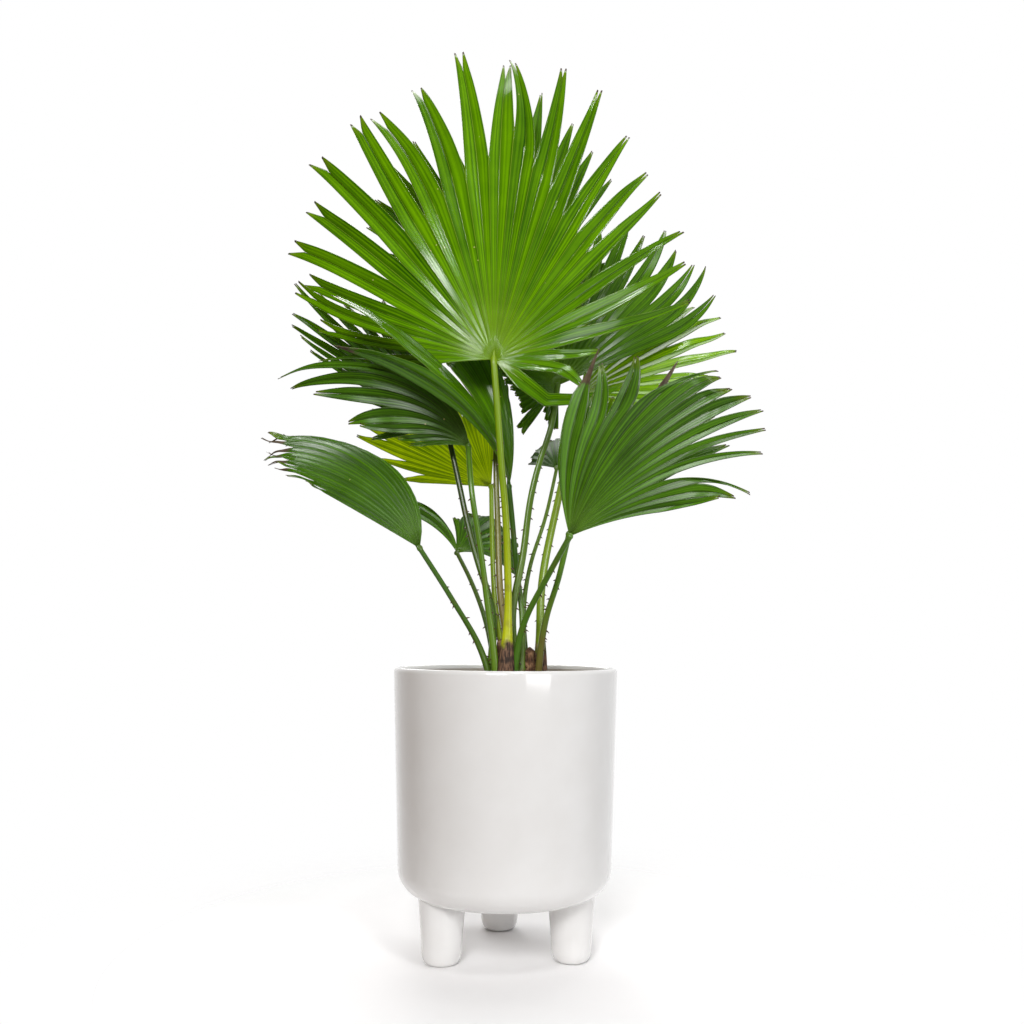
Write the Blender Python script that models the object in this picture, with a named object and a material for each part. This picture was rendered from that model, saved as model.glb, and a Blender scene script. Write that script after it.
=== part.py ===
"""Footstool palm (Livistona rotundifolia) growing in a footed ceramic pot.

Metres, +Z up. The origin is on the floor under the axis of the pot, and -Y is the front.
Each leaf is a fan blade on its own petiole; the petioles rise round two short stems that stand
in the soil of a plastic nursery pot, which sits inside the ceramic pot.
Lists of leaf places and lengths are in millimetres, bearings and turns are in degrees.
"""

import math
from dataclasses import dataclass

import bmesh
import bpy
import numpy as np

MM = 0.001
GAP = 0.0003  # clearance between pieces that touch

# Ceramic pot
RIM_RADIUS = 0.0950
POT_HEIGHT = 0.2356
BODY_RADIUS = 0.0897  # outside, where the wall meets the rounded bottom corner
UNDERSIDE_Z = 0.0498
CORNER_WIDTH = 0.018
CORNER_HEIGHT = 0.034
RIM_WALL = 0.0046
FLOOR_THICKNESS = 0.0077
INNER_CORNER_HEIGHT = 0.026
FOOT_CIRCLE = 0.0606
FOOT_ANGLES = (-145.6, -25.6, 94.4)
FOOT_FLAT = 0.011  # radius of the flat face each foot stands on
FOOT_TOP_Z = 0.0555  # inside the pot's bottom wall
POT_STEPS = 56
FOOT_STEPS = 20

# Nursery pot and soil
NURSERY_RIM_Z = 0.222
NURSERY_WALL = 0.0013
SOIL_Z = 0.212
SOIL_EDGE_DROP = 0.003

# Stems: centre, foot radius, top radius and top height
STEMS = {
    "main": ((-0.0020, -0.0080), 0.0063, 0.0048, 0.262),
    "side": ((0.0205, 0.0010), 0.0040, 0.0034, 0.254),
}
PETIOLE_RING = {"main": 0.0104, "side": 0.0082}  # radius on which the petioles stand
PETIOLE_FOOT_Z = SOIL_Z + 0.0005

# Blades
BLADE_THICKNESS = 0.0011
COLLAR = 0.006  # radius left free round the end of the petiole
TIP_HALF_WIDTH = 0.0008
PLEAT_START = 0.030  # the pleats reach full depth at this radius


def even(first, last, count):
    """Evenly spaced bearings of a fan's ribs."""
    return tuple(np.linspace(first, last, count))


@dataclass
class Leaf:
    """One leaf: petiole and fan blade.

    hastula is the point where the petiole ends and the ribs start. aim is the direction of bearing 0
    and face the side that the upper surface looks to. ribs are the bearings of the segments,
    clockwise seen from the face. reach gives (bearing, length) knots. tips are the bearings that the
    segment tips end on. splits are the shares of the length at which neighbours part. rise, droop and
    sweep hold five values across the fan: the angle out of the plane at the start, the turn away
    from the face by the tip, and the turn within the plane by the tip.
    """

    name: str
    clump: str
    foot_bearing: float
    route: tuple
    girth: tuple
    hastula: tuple
    aim: tuple
    face: tuple
    ribs: tuple
    reach: tuple
    splits: tuple
    colour: tuple
    tips: tuple = ()
    rise: tuple = (0, 0, 0, 0, 0)
    droop: tuple = (0, 0, 0, 0, 0)
    sweep: tuple = (0, 0, 0, 0, 0)
    sweep_power: float = 1.0
    pleat: float = 0.30
    rows: tuple = (0, 0.5, 1)
    phase: float = 0.0


BRIGHT = (0.16, 0.33, 0.02)
MID = (0.07, 0.21, 0.02)
DARK = (0.03, 0.13, 0.02)
PALE = (0.36, 0.48, 0.03)

LEAVES = (
    Leaf(
        name="crown_front",
        clump="main",
        foot_bearing=280,
        route=((2, -22, 301), (1, -26, 326), (0, -32, 358), (-4, -38, 399), (-7, -45, 440)),
        girth=(3.3, 2.9, 2.6),
        hastula=(-11, -50, 489),
        aim=(0.02, 0.15, 1),
        face=(0, -1, 0.16),
        ribs=(-90, -81, -73, -66, -57, -48, -39, -30, -21.5, -13.5, -6, 0, 6, 12, 18.5, 26, 33.5, 41,
              50, 61, 73, 84, 97, 126),
        tips=(-85, -75, -66, -63, -57, -47, -38, -29, -24, -16, -6, 0, 1, 10, 18, 26, 34, 40, 51,
              58, 67, 82, 105, 95),
        reach=((-90, 116), (-81, 162), (-73, 194), (-66, 195), (-57, 215), (-48, 251), (-39, 238),
               (-30, 263), (-21.5, 299), (-13.5, 319), (-6, 324), (0, 314), (6, 317), (12, 303),
               (18.5, 283), (26, 265), (33.5, 241), (41, 229), (50, 203), (61, 194), (73, 184),
               (84, 90), (97, 75), (126, 132)),
        splits=(0.4, 0.5, 0.5, 0.5, 0.5, 0.56, 0.51, 0.55, 0.56, 0.58, 0.62, 0.66, 0.75, 0.69, 0.62,
                0.6, 0.6, 0.55, 0.43, 0.4, 0.42, 0.5, 0.6, 0.12, 0.05),
        rise=(0, 4, 0, 4, 0),
        droop=(36, 22, 8, 22, 36),
        colour=BRIGHT,
        phase=0.3,
    ),
    Leaf(
        name="crown_back",
        clump="main",
        foot_bearing=44,
        route=((-5, 3, 293), (-7, 9, 346), (-10, 14, 426)),
        girth=(3.2, 2.4, 2.2),
        hastula=(-3, 45, 562),
        aim=(-0.03, 0.13, 1),
        face=(0, -1, 0.15),
        ribs=even(-61, 91, 18),
        reach=((-61, 160), (-43, 185), (-25, 205), (-12, 225), (-7, 230), (2, 262), (11, 258),
               (20, 220), (33, 195), (50, 146), (86, 118)),
        splits=(0.6, 0.6, 0.6, 0.6, 0.6),
        droop=(20, 12, 8, 12, 20),
        colour=MID,
        phase=1.1,
    ),
    Leaf(
        name="right_upper",
        clump="main",
        foot_bearing=358,
        route=((5, -6, 283), (14, -3, 327), (21, 8, 384), (29, 12, 417), (40, 16, 449)),
        girth=(3.3, 2.8, 2.4),
        hastula=(45, 20, 486),
        aim=(0.28, 0.12, 0.88),
        face=(0.2, -0.95, 0.25),
        ribs=even(-154, 38, 19),
        reach=((-154, 50), (-100, 72), (-50, 104), (-20, 140), (0, 172), (14, 200), (25, 222),
               (32, 216), (38, 204)),
        splits=(0.68, 0.68, 0.68, 0.68, 0.68),
        droop=(22, 16, 10, 16, 20),
        colour=DARK,
        phase=2.0,
    ),
    Leaf(
        name="left_middle",
        clump="main",
        foot_bearing=240,
        route=((-17, -18, 301), (-23, -22, 344), (-29, -26, 381)),
        girth=(3.3, 2.4, 2.2),
        hastula=(-33, -12, 424),
        aim=(-0.1, -0.25, 0.95),
        face=(0, -0.95, -0.25),
        ribs=even(-66, 6, 11),
        reach=((-66, 63), (-52, 64), (-35, 98), (-32, 112), (-17, 148), (-12, 180), (-6, 196),
               (6, 150)),
        splits=(0.45, 0.5, 0.55, 0.6, 0.6),
        sweep=(-30, -60, -80, -95, -105),
        sweep_power=0.6,
        droop=(5, 14, 16, 25, 38),
        rows=(0, 0.2, 0.45, 0.7, 1),
        colour=DARK,
        phase=2.7,
    ),
    Leaf(
        name="left_low",
        clump="main",
        foot_bearing=200,
        route=((-19, -14, 246), (-44, -36, 292)),
        girth=(3.2, 2.2, 2.0),
        hastula=(-69, -60, 332),
        aim=(-0.57, -0.3, 0.82),
        face=(0.05, -1, 0.45),
        ribs=even(-22, 48, 14),
        reach=((-22, 112), (-11, 134), (0, 150), (16, 164), (32, 174), (42, 172), (48, 166)),
        splits=(0.8, 0.82, 0.84, 0.84, 0.8),
        sweep=(0, -35, -70, -100, -130),
        droop=(10, 20, 30, 40, 50),
        pleat=0.20,
        rows=(0, 0.25, 0.5, 0.75, 1),
        colour=DARK,
        phase=3.4,
    ),
    Leaf(
        name="pale",
        clump="main",
        foot_bearing=84,
        route=((-10, 8, 294), (-12, 14, 329)),
        girth=(3.2, 2.2, 2.0),
        hastula=(-14, 30, 396),
        aim=(-0.7, 0.36, 0.55),
        face=(-0.35, -0.85, 0.2),
        ribs=even(-26, 50, 13),
        reach=((-26, 98), (-19, 128), (-12, 166), (1, 176), (13, 141), (25, 106), (38, 81), (50, 61)),
        splits=(0.75, 0.75, 0.75, 0.75, 0.75),
        droop=(8, 8, 12, 12, 12),
        colour=PALE,
        phase=4.2,
    ),
    Leaf(
        name="right_low",
        clump="main",
        foot_bearing=320,
        route=((14, -22, 270), (32, -45, 307)),
        girth=(3.2, 2.4, 2.2),
        hastula=(50, -80, 340),
        aim=(0.42, -0.3, 0.9),
        face=(-0.2, -0.95, -0.2),
        ribs=even(-40, 38, 13),
        tips=(-36, -31, -24, -20, -14, -9, -3, 3.5, 8, 13, 18, 25, 37),
        reach=((-40, 140), (-27, 150), (-20.5, 165), (-7.5, 174), (5.5, 168), (12, 176),
               (18.5, 177), (25, 170), (31.5, 160), (38, 141)),
        splits=(0.75, 0.7, 0.68, 0.66, 0.8),
        sweep=(44, 40, 38, 34, 28),
        droop=(15, 12, 8, 6, -4),
        rows=(0, 0.33, 0.67, 1),
        colour=DARK,
        phase=5.0,
    ),
    Leaf(
        name="centre",
        clump="side",
        foot_bearing=222,
        route=((14, 5, 283), (9, 8, 319), (5, 2, 363)),
        girth=(3.0, 2.4, 2.2),
        hastula=(2, -2, 391),
        aim=(0, -0.12, 1),
        face=(0.1, -1, -0.1),
        ribs=(-17, -6, 4, 9, 14, 19),
        reach=((-17, 205), (-6, 238), (4, 112), (9, 112), (14, 104), (19, 92)),
        splits=(0.5, 0.5, 0.2, 0.7, 0.7, 0.7, 0.7),
        sweep=(-80, -82, -50, 0, 5),
        sweep_power=0.6,
        rise=(34, 34, 10, 0, 0),
        droop=(0, 0, 0, 20, 30),
        rows=(0, 0.25, 0.5, 0.75, 1),
        colour=MID,
        phase=5.7,
    ),
    Leaf(
        name="left_upper",
        clump="main",
        foot_bearing=162,
        route=((-11, -2, 283), (-25, 4, 327), (-33, 6, 356), (-43, 10, 401)),
        girth=(3.4, 2.6, 2.2),
        hastula=(-54, 14, 448),
        aim=(-0.75, 0.18, 0.6),
        face=(-0.25, -0.88, 0.3),
        ribs=even(-44, 44, 12),
        reach=((-44, 132), (-12, 160), (-5, 164), (0, 195), (8, 212), (14, 190), (20, 160),
               (44, 121)),
        splits=(0.6, 0.6, 0.6, 0.6, 0.6),
        sweep=(-5, -5, -5, -10, -10),
        droop=(15, 10, 8, 10, 15),
        colour=DARK,
        phase=0.7,
    ),
    Leaf(
        name="rear_small",
        clump="side",
        foot_bearing=100,
        route=((15, 18, 285), (21, 34, 325), (35, 55, 369)),
        girth=(2.8, 1.8, 1.6),
        hastula=(47, 80, 422),
        aim=(-0.25, 0.8, 0.45),
        face=(-0.1, -0.45, 0.9),
        ribs=even(-60, 60, 8),
        reach=((-60, 55), (-26, 72), (10, 74), (43, 64), (60, 55)),
        splits=(0.7, 0.7, 0.7, 0.7, 0.7),
        droop=(30, 30, 40, 30, 30),
        colour=MID,
        phase=1.6,
    ),
    Leaf(
        name="right_middle",
        clump="side",
        foot_bearing=14,
        route=((31, 12, 310), (42, 24, 366), (48, 30, 393)),
        girth=(3.6, 3.3, 2.8),
        hastula=(67, 55, 488),
        aim=(0.92, -0.03, 0.36),
        face=(0, -0.8, 0.6),
        ribs=even(-57, 67, 13),
        reach=((-57, 160), (-38, 156), (-25, 170), (-19, 167), (-9, 163), (8, 145), (16, 116),
               (67, 99)),
        splits=(0.6, 0.6, 0.6, 0.6, 0.6),
        droop=(12, 9, 7, 9, 14),
        colour=BRIGHT,
        phase=2.3,
    ),
    Leaf(
        name="rear_low",
        clump="main",
        foot_bearing=124,
        route=((-14, 10, 261), (-32, 40, 312)),
        girth=(3.0, 2.0, 1.8),
        hastula=(-46, 60, 339),
        aim=(0.35, 0.55, 0.72),
        face=(-0.1, -0.8, 0.6),
        ribs=(-45, -32, -20, -9, 2, 13, 24, 35, 46),
        reach=((-45, 92), (-32, 92), (-20, 64), (-9, 70), (2, 78), (13, 84), (24, 84), (35, 80),
               (46, 70)),
        splits=(0.6, 0.7, 0.2, 0.8, 0.8, 0.8, 0.8, 0.8, 0.8, 0.8),
        sweep=(-80, -60, 20, 40, 60),
        droop=(0, 10, 80, 90, 90),
        rows=(0, 0.33, 0.67, 1),
        colour=DARK,
        phase=3.1,
    ),
    Leaf(
        name="right_inner",
        clump="side",
        foot_bearing=318,
        route=((34, -16, 278), (43, -32, 308)),
        girth=(3.2, 2.4, 2.2),
        hastula=(51, -50, 345),
        aim=(0.4, -0.08, 0.9),
        face=(0, -1, 0.2),
        ribs=even(-34, 39, 9),
        reach=((-34, 150), (-27, 172), (-14, 158), (-2, 172), (10, 158), (21, 161), (30, 146),
               (39, 108)),
        splits=(0.6, 0.6, 0.6, 0.6, 0.6),
        sweep=(20, 20, 15, 10, 10),
        droop=(0, 4, 5, 8, 12),
        colour=MID,
        phase=3.9,
    ),
)


# ------------------------------------------------------------------ scene and materials


def clear_scene():
    for old in list(bpy.data.objects):
        bpy.data.objects.remove(old)


def material(name, colour, roughness):
    """Principled material, made once for each name."""
    made = bpy.data.materials.get(name)
    if made:
        return made
    made = bpy.data.materials.new(name)
    made.use_nodes = True
    shader = made.node_tree.nodes["Principled BSDF"]
    shader.inputs["Base Color"].default_value = (*colour, 1)
    shader.inputs["Roughness"].default_value = roughness
    shader.inputs["Metallic"].default_value = 0
    return made


def add_object(name, data, finish):
    data.materials.append(finish)
    made = bpy.data.objects.new(name, data)
    bpy.context.scene.collection.objects.link(made)
    return made


# ------------------------------------------------------------------ turned pieces


def turned_mesh(name, profile, steps):
    """Closed mesh from spinning a profile of (radius, height) points round the Z axis."""
    build = bmesh.new()
    points = [build.verts.new((radius, 0, height)) for radius, height in profile]
    edges = [build.edges.new(pair) for pair in zip(points[:-1], points[1:])]
    bmesh.ops.spin(
        build, geom=points + edges, axis=(0, 0, 1), cent=(0, 0, 0), angle=math.tau, steps=steps
    )
    bmesh.ops.remove_doubles(build, verts=build.verts, dist=1e-6)
    bmesh.ops.recalc_face_normals(build, faces=build.faces)
    mesh = bpy.data.meshes.new(name)
    build.to_mesh(mesh)
    build.free()
    mesh.shade_smooth()
    mesh.set_sharp_from_angle(angle=math.radians(40))
    return mesh


def quarter(centre, width, height, start, end, count):
    """Points on an elliptic arc between two angles in degrees."""
    turns = np.radians(np.linspace(start, end, count))
    return [(centre[0] + width * math.cos(t), centre[1] + height * math.sin(t)) for t in turns]


def ceramic_profile():
    lip = RIM_WALL / 2
    corner_z = UNDERSIDE_Z + CORNER_HEIGHT
    inner_floor = UNDERSIDE_Z + FLOOR_THICKNESS
    inner_radius = BODY_RADIUS - 0.0057
    outer = quarter(
        (BODY_RADIUS - CORNER_WIDTH, corner_z), CORNER_WIDTH, CORNER_HEIGHT, -90, 0, 9
    )
    rim = quarter((RIM_RADIUS - lip, POT_HEIGHT - lip), lip, lip, 0, 180, 9)
    inner = quarter(
        (inner_radius - CORNER_WIDTH, inner_floor + INNER_CORNER_HEIGHT),
        CORNER_WIDTH,
        INNER_CORNER_HEIGHT,
        0,
        -90,
        8,
    )
    return [(0, UNDERSIDE_Z), *outer, *rim, *inner, (0, inner_floor)]


def foot_profile():
    return [
        (0, 0),
        (FOOT_FLAT, 0),
        (0.0138, 0.0010),
        (0.0155, 0.0038),
        (0.0163, 0.0085),
        (0.0171, 0.0240),
        (0.0188, 0.0450),
        (0.0195, FOOT_TOP_Z),
        (0, FOOT_TOP_Z),
    ]


def build_ceramic_pot(finish):
    pot = add_object("ceramic_pot", turned_mesh("ceramic_pot", ceramic_profile(), POT_STEPS), finish)
    for index, bearing in enumerate(FOOT_ANGLES):
        turn = math.radians(bearing)
        foot = add_object(f"foot_shape_{index}", turned_mesh("foot", foot_profile(), FOOT_STEPS), finish)
        foot.location = (FOOT_CIRCLE * math.cos(turn), FOOT_CIRCLE * math.sin(turn), 0)
        foot.hide_render = True
        foot.display_type = "WIRE"
        join = pot.modifiers.new(f"foot_{index}", "BOOLEAN")
        join.operation = "UNION"
        join.solver = "EXACT"
        join.object = foot


def nursery_outer():
    """Outside of the nursery pot from its floor to the rolled rim."""
    floor_z = UNDERSIDE_Z + FLOOR_THICKNESS + GAP
    return [
        (0.0600, floor_z),
        (0.0630, floor_z + 0.003),
        (0.0835, NURSERY_RIM_Z - 0.006),
        (0.0860, NURSERY_RIM_Z - 0.005),
        (0.0860, NURSERY_RIM_Z),
    ]


def build_nursery_pot(finish):
    outer = nursery_outer()
    floor_z = outer[0][1]
    inner = [
        (0.0835 - NURSERY_WALL, NURSERY_RIM_Z),
        (0.0835 - NURSERY_WALL, NURSERY_RIM_Z - 0.006),
        (0.0630 - NURSERY_WALL, floor_z + 0.0035),
        (0.0595 - NURSERY_WALL, floor_z + 0.0015),
        (0, floor_z + 0.0015),
    ]
    mesh = turned_mesh("nursery_pot", [(0, floor_z), *outer, *inner], 40)
    add_object("nursery_pot", mesh, finish)


def build_soil(finish):
    """Soil fills the nursery pot, a little lower at its edge than round the stems."""
    floor_z = nursery_outer()[0][1] + 0.0015 + GAP
    wall = NURSERY_WALL + GAP * 1.5
    slope = (0.0835 - 0.0630) / (NURSERY_RIM_Z - 0.006 - floor_z - 0.002)
    edge_z = SOIL_Z - SOIL_EDGE_DROP
    edge_radius = 0.0630 - wall + slope * (edge_z - floor_z - 0.002)
    profile = [
        (0, floor_z),
        (0.0590 - wall, floor_z),
        (0.0630 - wall, floor_z + 0.0030),
        (edge_radius, edge_z),
        (0.062, SOIL_Z - 0.001),
        (0.042, SOIL_Z),
        (0, SOIL_Z),
    ]
    add_object("soil", turned_mesh("soil", profile, 40), finish)


def build_stem(name, finish):
    """Short fibrous stem: a tapering column with ringed leaf scars."""
    (centre_x, centre_y), foot, top, top_z = STEMS[name]
    rings = 9
    heights = np.linspace(SOIL_Z + GAP, top_z - 0.002, rings)
    profile = [(0, heights[0])]
    for index, height in enumerate(heights):
        share = index / (rings - 1)
        scar = 0.00025 if index % 2 else 0
        profile.append((foot + (top - foot) * share - scar, height))
    profile.append((top * 0.6, top_z))
    profile.append((0, top_z))
    stem = add_object(f"stem_{name}", turned_mesh(f"stem_{name}", profile, 14), finish)
    stem.location = (centre_x, centre_y, 0)


# ------------------------------------------------------------------ leaves


def unit(vector):
    vector = np.asarray(vector, float)
    return vector / np.linalg.norm(vector)


def across(stations, place):
    """Smooth curve through five values spread from place -1 to place 1."""
    values = np.asarray(stations, float)
    scaled = (np.clip(place, -1, 1) + 1) * 2
    index = np.clip(np.floor(scaled).astype(int), 0, 3)
    t = scaled - index
    padded = np.r_[2 * values[0] - values[1], values, 2 * values[-1] - values[-2]]
    before, start, end, after = (padded[index + k] for k in range(4))
    leave = (end - before) / 2
    arrive = (after - start) / 2
    return (
        (2 * t**3 - 3 * t**2 + 1) * start
        + (t**3 - 2 * t**2 + t) * leave
        + (3 * t**2 - 2 * t**3) * end
        + (t**3 - t**2) * arrive
    )


def wobble(count, phase, size):
    """Small uneven steps, so that no two segments are quite alike."""
    k = np.arange(count)
    return size * np.sin(2.4 * k + 1.3 * k * k + phase * 7)


class Blade:
    """The curved surface that a fan blade lies in, and the outline of its segments."""

    def __init__(self, leaf):
        self.leaf = leaf
        self.start = np.array(leaf.hastula) * MM
        self.ahead = unit(leaf.aim)
        face = np.asarray(leaf.face, float)
        self.up = unit(face - face.dot(self.ahead) * self.ahead)
        self.side = np.cross(self.ahead, self.up)
        self.ribs = np.radians(leaf.ribs)
        between = (self.ribs[1:] + self.ribs[:-1]) / 2
        self.edges = np.r_[2 * self.ribs[0] - between[0], between, 2 * self.ribs[-1] - between[-1]]
        bearings, lengths = zip(*leaf.reach)
        self.lengths = np.interp(leaf.ribs, bearings, lengths) * MM
        count = len(self.ribs)
        if leaf.tips:
            self.tips = np.radians(leaf.tips)
        else:
            self.lengths *= 1 + wobble(count, leaf.phase, 0.03)
            self.tips = self.ribs + wobble(count, leaf.phase + 1, 0.02)
        self.curl = wobble(count, leaf.phase + 2, 0.04)
        self.stations = np.interp(
            np.linspace(-1, 1, 5), self.place(self.ribs), self.lengths
        )
        if len(leaf.splits) == 5:
            shares = across(leaf.splits, self.place(self.edges))
            shares = shares + wobble(count + 1, leaf.phase + 3, 0.04)
        else:
            shares = np.array(leaf.splits)
        shorter = np.minimum(self.lengths[1:], self.lengths[:-1])
        self.split_radii = shares * np.r_[self.lengths[0], shorter, self.lengths[-1]]

    def place(self, bearing):
        """Where a bearing lies across the fan, from -1 to 1."""
        middle = (self.edges[0] + self.edges[-1]) / 2
        return (bearing - middle) / (self.edges[-1] - middle)

    def points(self, bearing, radius, samples=14):
        """Points at distance radius along curves that leave the hastula at a bearing.

        Each curve's direction turns by sweep * u**power in the plane and by droop * u**1.4 out of
        it, with u the share of the curve's full reach, and the point is the sum of those steps.
        """
        bearing, radius = np.broadcast_arrays(bearing, radius)
        place = self.place(bearing)
        reach = across(self.stations, place)[..., None]
        rise = np.radians(across(self.leaf.rise, place))[..., None]
        droop = np.radians(across(self.leaf.droop, place))[..., None]
        sweep = np.radians(across(self.leaf.sweep, place))[..., None]
        steps = (np.arange(samples) + 0.5) / samples
        share = radius[..., None] * steps / reach
        lift = rise - droop * share**1.4
        heading = bearing[..., None] + sweep * share**self.leaf.sweep_power
        ahead = (np.cos(lift) * np.cos(heading)).mean(-1) * radius
        aside = (np.cos(lift) * np.sin(heading)).mean(-1) * radius
        above = np.sin(lift).mean(-1) * radius
        return (
            self.start
            + ahead[..., None] * self.ahead
            + aside[..., None] * self.side
            + above[..., None] * self.up
        )

    def normals(self, bearing, radius):
        """Unit vectors square to the surface, on the side of the face."""
        step = 1e-4
        radius = np.maximum(radius, 1e-3)
        outward = self.points(bearing, radius + step) - self.points(bearing, radius - step)
        sideways = self.points(bearing + step / radius, radius) - self.points(
            bearing - step / radius, radius
        )
        square = np.cross(sideways, outward)
        return square / np.linalg.norm(square, axis=-1, keepdims=True)

    def half_segment(self, index, side):
        """Rows of two points, rib and edge, from the collar to the tip of one half of a segment.

        The rib lies below the surface and the edge above it by half the pleat times their width.
        """
        rib = self.ribs[index]
        edge = self.edges[index + side]
        sign = 1 if side else -1
        edge_split = self.split_radii[index + side]
        rib_split = (self.split_radii[index] + self.split_radii[index + 1]) / 2
        length = self.lengths[index]
        mean_turn = (self.edges[index + 1] - self.edges[index]) / 2
        rows = []
        for share in self.leaf.rows:
            rib_radius = COLLAR + (rib_split - COLLAR) * share
            edge_radius = COLLAR + (edge_split - COLLAR) * share
            widths = (-mean_turn * rib_radius, abs(edge - rib) * edge_radius)
            rows.append(((rib_radius, edge_radius), (rib, edge), widths, 0))
        for share in (0.5, 1.0):
            rib_radius = rib_split + (length - rib_split) * share
            edge_radius = edge_split + (length - edge_split) * share
            centre = rib + (self.tips[index] - rib) * share**1.5
            taper = 1 - share**1.25
            edge_width = TIP_HALF_WIDTH + (abs(edge - rib) * edge_split - TIP_HALF_WIDTH) * taper
            mean_width = TIP_HALF_WIDTH + (mean_turn * rib_split - TIP_HALF_WIDTH) * taper
            bearings = (centre, centre + sign * edge_width / edge_radius)
            rows.append(((rib_radius, edge_radius), bearings, (-mean_width, edge_width), share))
        radii, bearings, widths = (np.array([row[k] for row in rows]) for k in range(3))
        free = np.array([row[3] for row in rows])[:, None]
        depth = self.leaf.pleat / 2 * widths * np.minimum(1, radii / PLEAT_START)
        depth = depth + self.curl[index] * length * free**2
        return self.points(bearings, radii) + self.normals(bearings, radii) * depth[..., None]


def build_blade(leaf, finish):
    """Pleated sheet of all half segments, welded along ribs and fused edges, then thickened."""
    blade = Blade(leaf)
    build = bmesh.new()
    for index in range(len(leaf.ribs)):
        for side in (0, 1):
            rows = [[build.verts.new(point) for point in row] for row in blade.half_segment(index, side)]
            for low, high in zip(rows[:-1], rows[1:]):
                corners = [low[0], low[1], high[1], high[0]]
                build.faces.new(corners if side else corners[::-1])
    bmesh.ops.remove_doubles(build, verts=build.verts, dist=2e-5)
    bmesh.ops.recalc_face_normals(build, faces=build.faces)
    mesh = bpy.data.meshes.new(f"blade_{leaf.name}")
    build.to_mesh(mesh)
    build.free()
    sheet = add_object(f"blade_{leaf.name}", mesh, finish)
    thicken = sheet.modifiers.new("thickness", "SOLIDIFY")
    thicken.thickness = BLADE_THICKNESS
    thicken.offset = 0


def petiole_route(leaf, count=9):
    """Smooth curve from the foot of the petiole through its route to the hastula."""
    (centre_x, centre_y) = STEMS[leaf.clump][0]
    turn = math.radians(leaf.foot_bearing)
    outward = np.array([math.cos(turn), math.sin(turn), 0])
    foot = np.array([centre_x, centre_y, PETIOLE_FOOT_Z]) + PETIOLE_RING[leaf.clump] * outward
    above_foot = foot + MM * outward + np.array([0, 0, 12 * MM])
    route = [foot, above_foot, *(np.array(leaf.route) * MM), np.array(leaf.hastula) * MM]
    route = np.array(route)
    travelled = np.r_[0, np.cumsum(np.linalg.norm(np.diff(route, axis=0), axis=1))]
    slopes = np.gradient(route, travelled, axis=0)
    fine = np.linspace(0, travelled[-1], 3 * count)
    index = np.clip(np.searchsorted(travelled, fine, side="right") - 1, 0, len(route) - 2)
    span = (travelled[index + 1] - travelled[index])[:, None]
    t = (fine - travelled[index])[:, None] / span
    curve = (
        (2 * t**3 - 3 * t**2 + 1) * route[index]
        + (t**3 - 2 * t**2 + t) * span * slopes[index]
        + (3 * t**2 - 2 * t**3) * route[index + 1]
        + (t**3 - t**2) * span * slopes[index + 1]
    )
    for _ in range(3):
        curve[1:-1] = (curve[:-2] + 2 * curve[1:-1] + curve[2:]) / 4
    return curve[np.round(np.linspace(0, len(curve) - 1, count)).astype(int)]


def build_petiole(leaf, finish):
    curve = bpy.data.curves.new(f"petiole_{leaf.name}", "CURVE")
    curve.dimensions = "3D"
    curve.bevel_depth = MM
    curve.bevel_resolution = 2
    curve.use_fill_caps = True
    points = petiole_route(leaf)
    spline = curve.splines.new("POLY")
    spline.points.add(len(points) - 1)
    girths = np.interp(np.linspace(0, 1, len(points)), (0, 0.5, 1), leaf.girth)
    for knot, point, girth in zip(spline.points, points, girths):
        knot.co = (*point, 1)
        knot.radius = girth
    add_object(f"petiole_{leaf.name}", curve, finish)


def main():
    clear_scene()
    build_ceramic_pot(material("glazed_ceramic", (0.80, 0.79, 0.77), 0.12))
    build_nursery_pot(material("nursery_plastic", (0.02, 0.02, 0.02), 0.45))
    build_soil(material("soil", (0.05, 0.032, 0.02), 0.95))
    for name in STEMS:
        build_stem(name, material("stem_fibre", (0.10, 0.055, 0.025), 0.85))
    for leaf in LEAVES:
        build_petiole(leaf, material(f"petiole_{leaf.name}", leaf.colour, 0.35))
        build_blade(leaf, material(f"blade_{leaf.name}", leaf.colour, 0.35))


main()
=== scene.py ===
"""Dressed footstool palm: fine leaves, thorny stalks, fibrous stems, soil and a glazed footed pot.

Metres, +Z up, the same frame as the CAD model. The leaf table holds named values in millimetres and
degrees, as the CAD model's table does, so each blade and stalk lies where its solid does. Several
fans are drawn finer here, with ribs, lengths, splits and bends of their own.
"""

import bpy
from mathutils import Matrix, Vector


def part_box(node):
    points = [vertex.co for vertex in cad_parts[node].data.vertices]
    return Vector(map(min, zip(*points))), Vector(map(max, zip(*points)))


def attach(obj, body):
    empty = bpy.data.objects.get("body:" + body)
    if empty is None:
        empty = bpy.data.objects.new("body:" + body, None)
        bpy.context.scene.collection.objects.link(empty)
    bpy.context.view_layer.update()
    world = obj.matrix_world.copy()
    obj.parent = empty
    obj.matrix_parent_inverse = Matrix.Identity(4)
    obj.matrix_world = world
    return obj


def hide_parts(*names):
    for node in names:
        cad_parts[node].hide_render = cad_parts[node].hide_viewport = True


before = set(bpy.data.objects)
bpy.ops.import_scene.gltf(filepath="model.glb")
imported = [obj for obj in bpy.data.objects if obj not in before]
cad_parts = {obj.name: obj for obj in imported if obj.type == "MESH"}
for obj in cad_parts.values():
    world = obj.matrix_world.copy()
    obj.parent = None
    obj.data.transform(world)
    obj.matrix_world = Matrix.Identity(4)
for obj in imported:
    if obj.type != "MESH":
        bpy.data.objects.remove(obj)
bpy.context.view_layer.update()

import math
from dataclasses import dataclass
from functools import partial

import bmesh
import bpy
import numpy as np
from mathutils import Matrix, Vector

MM = 0.001

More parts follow.
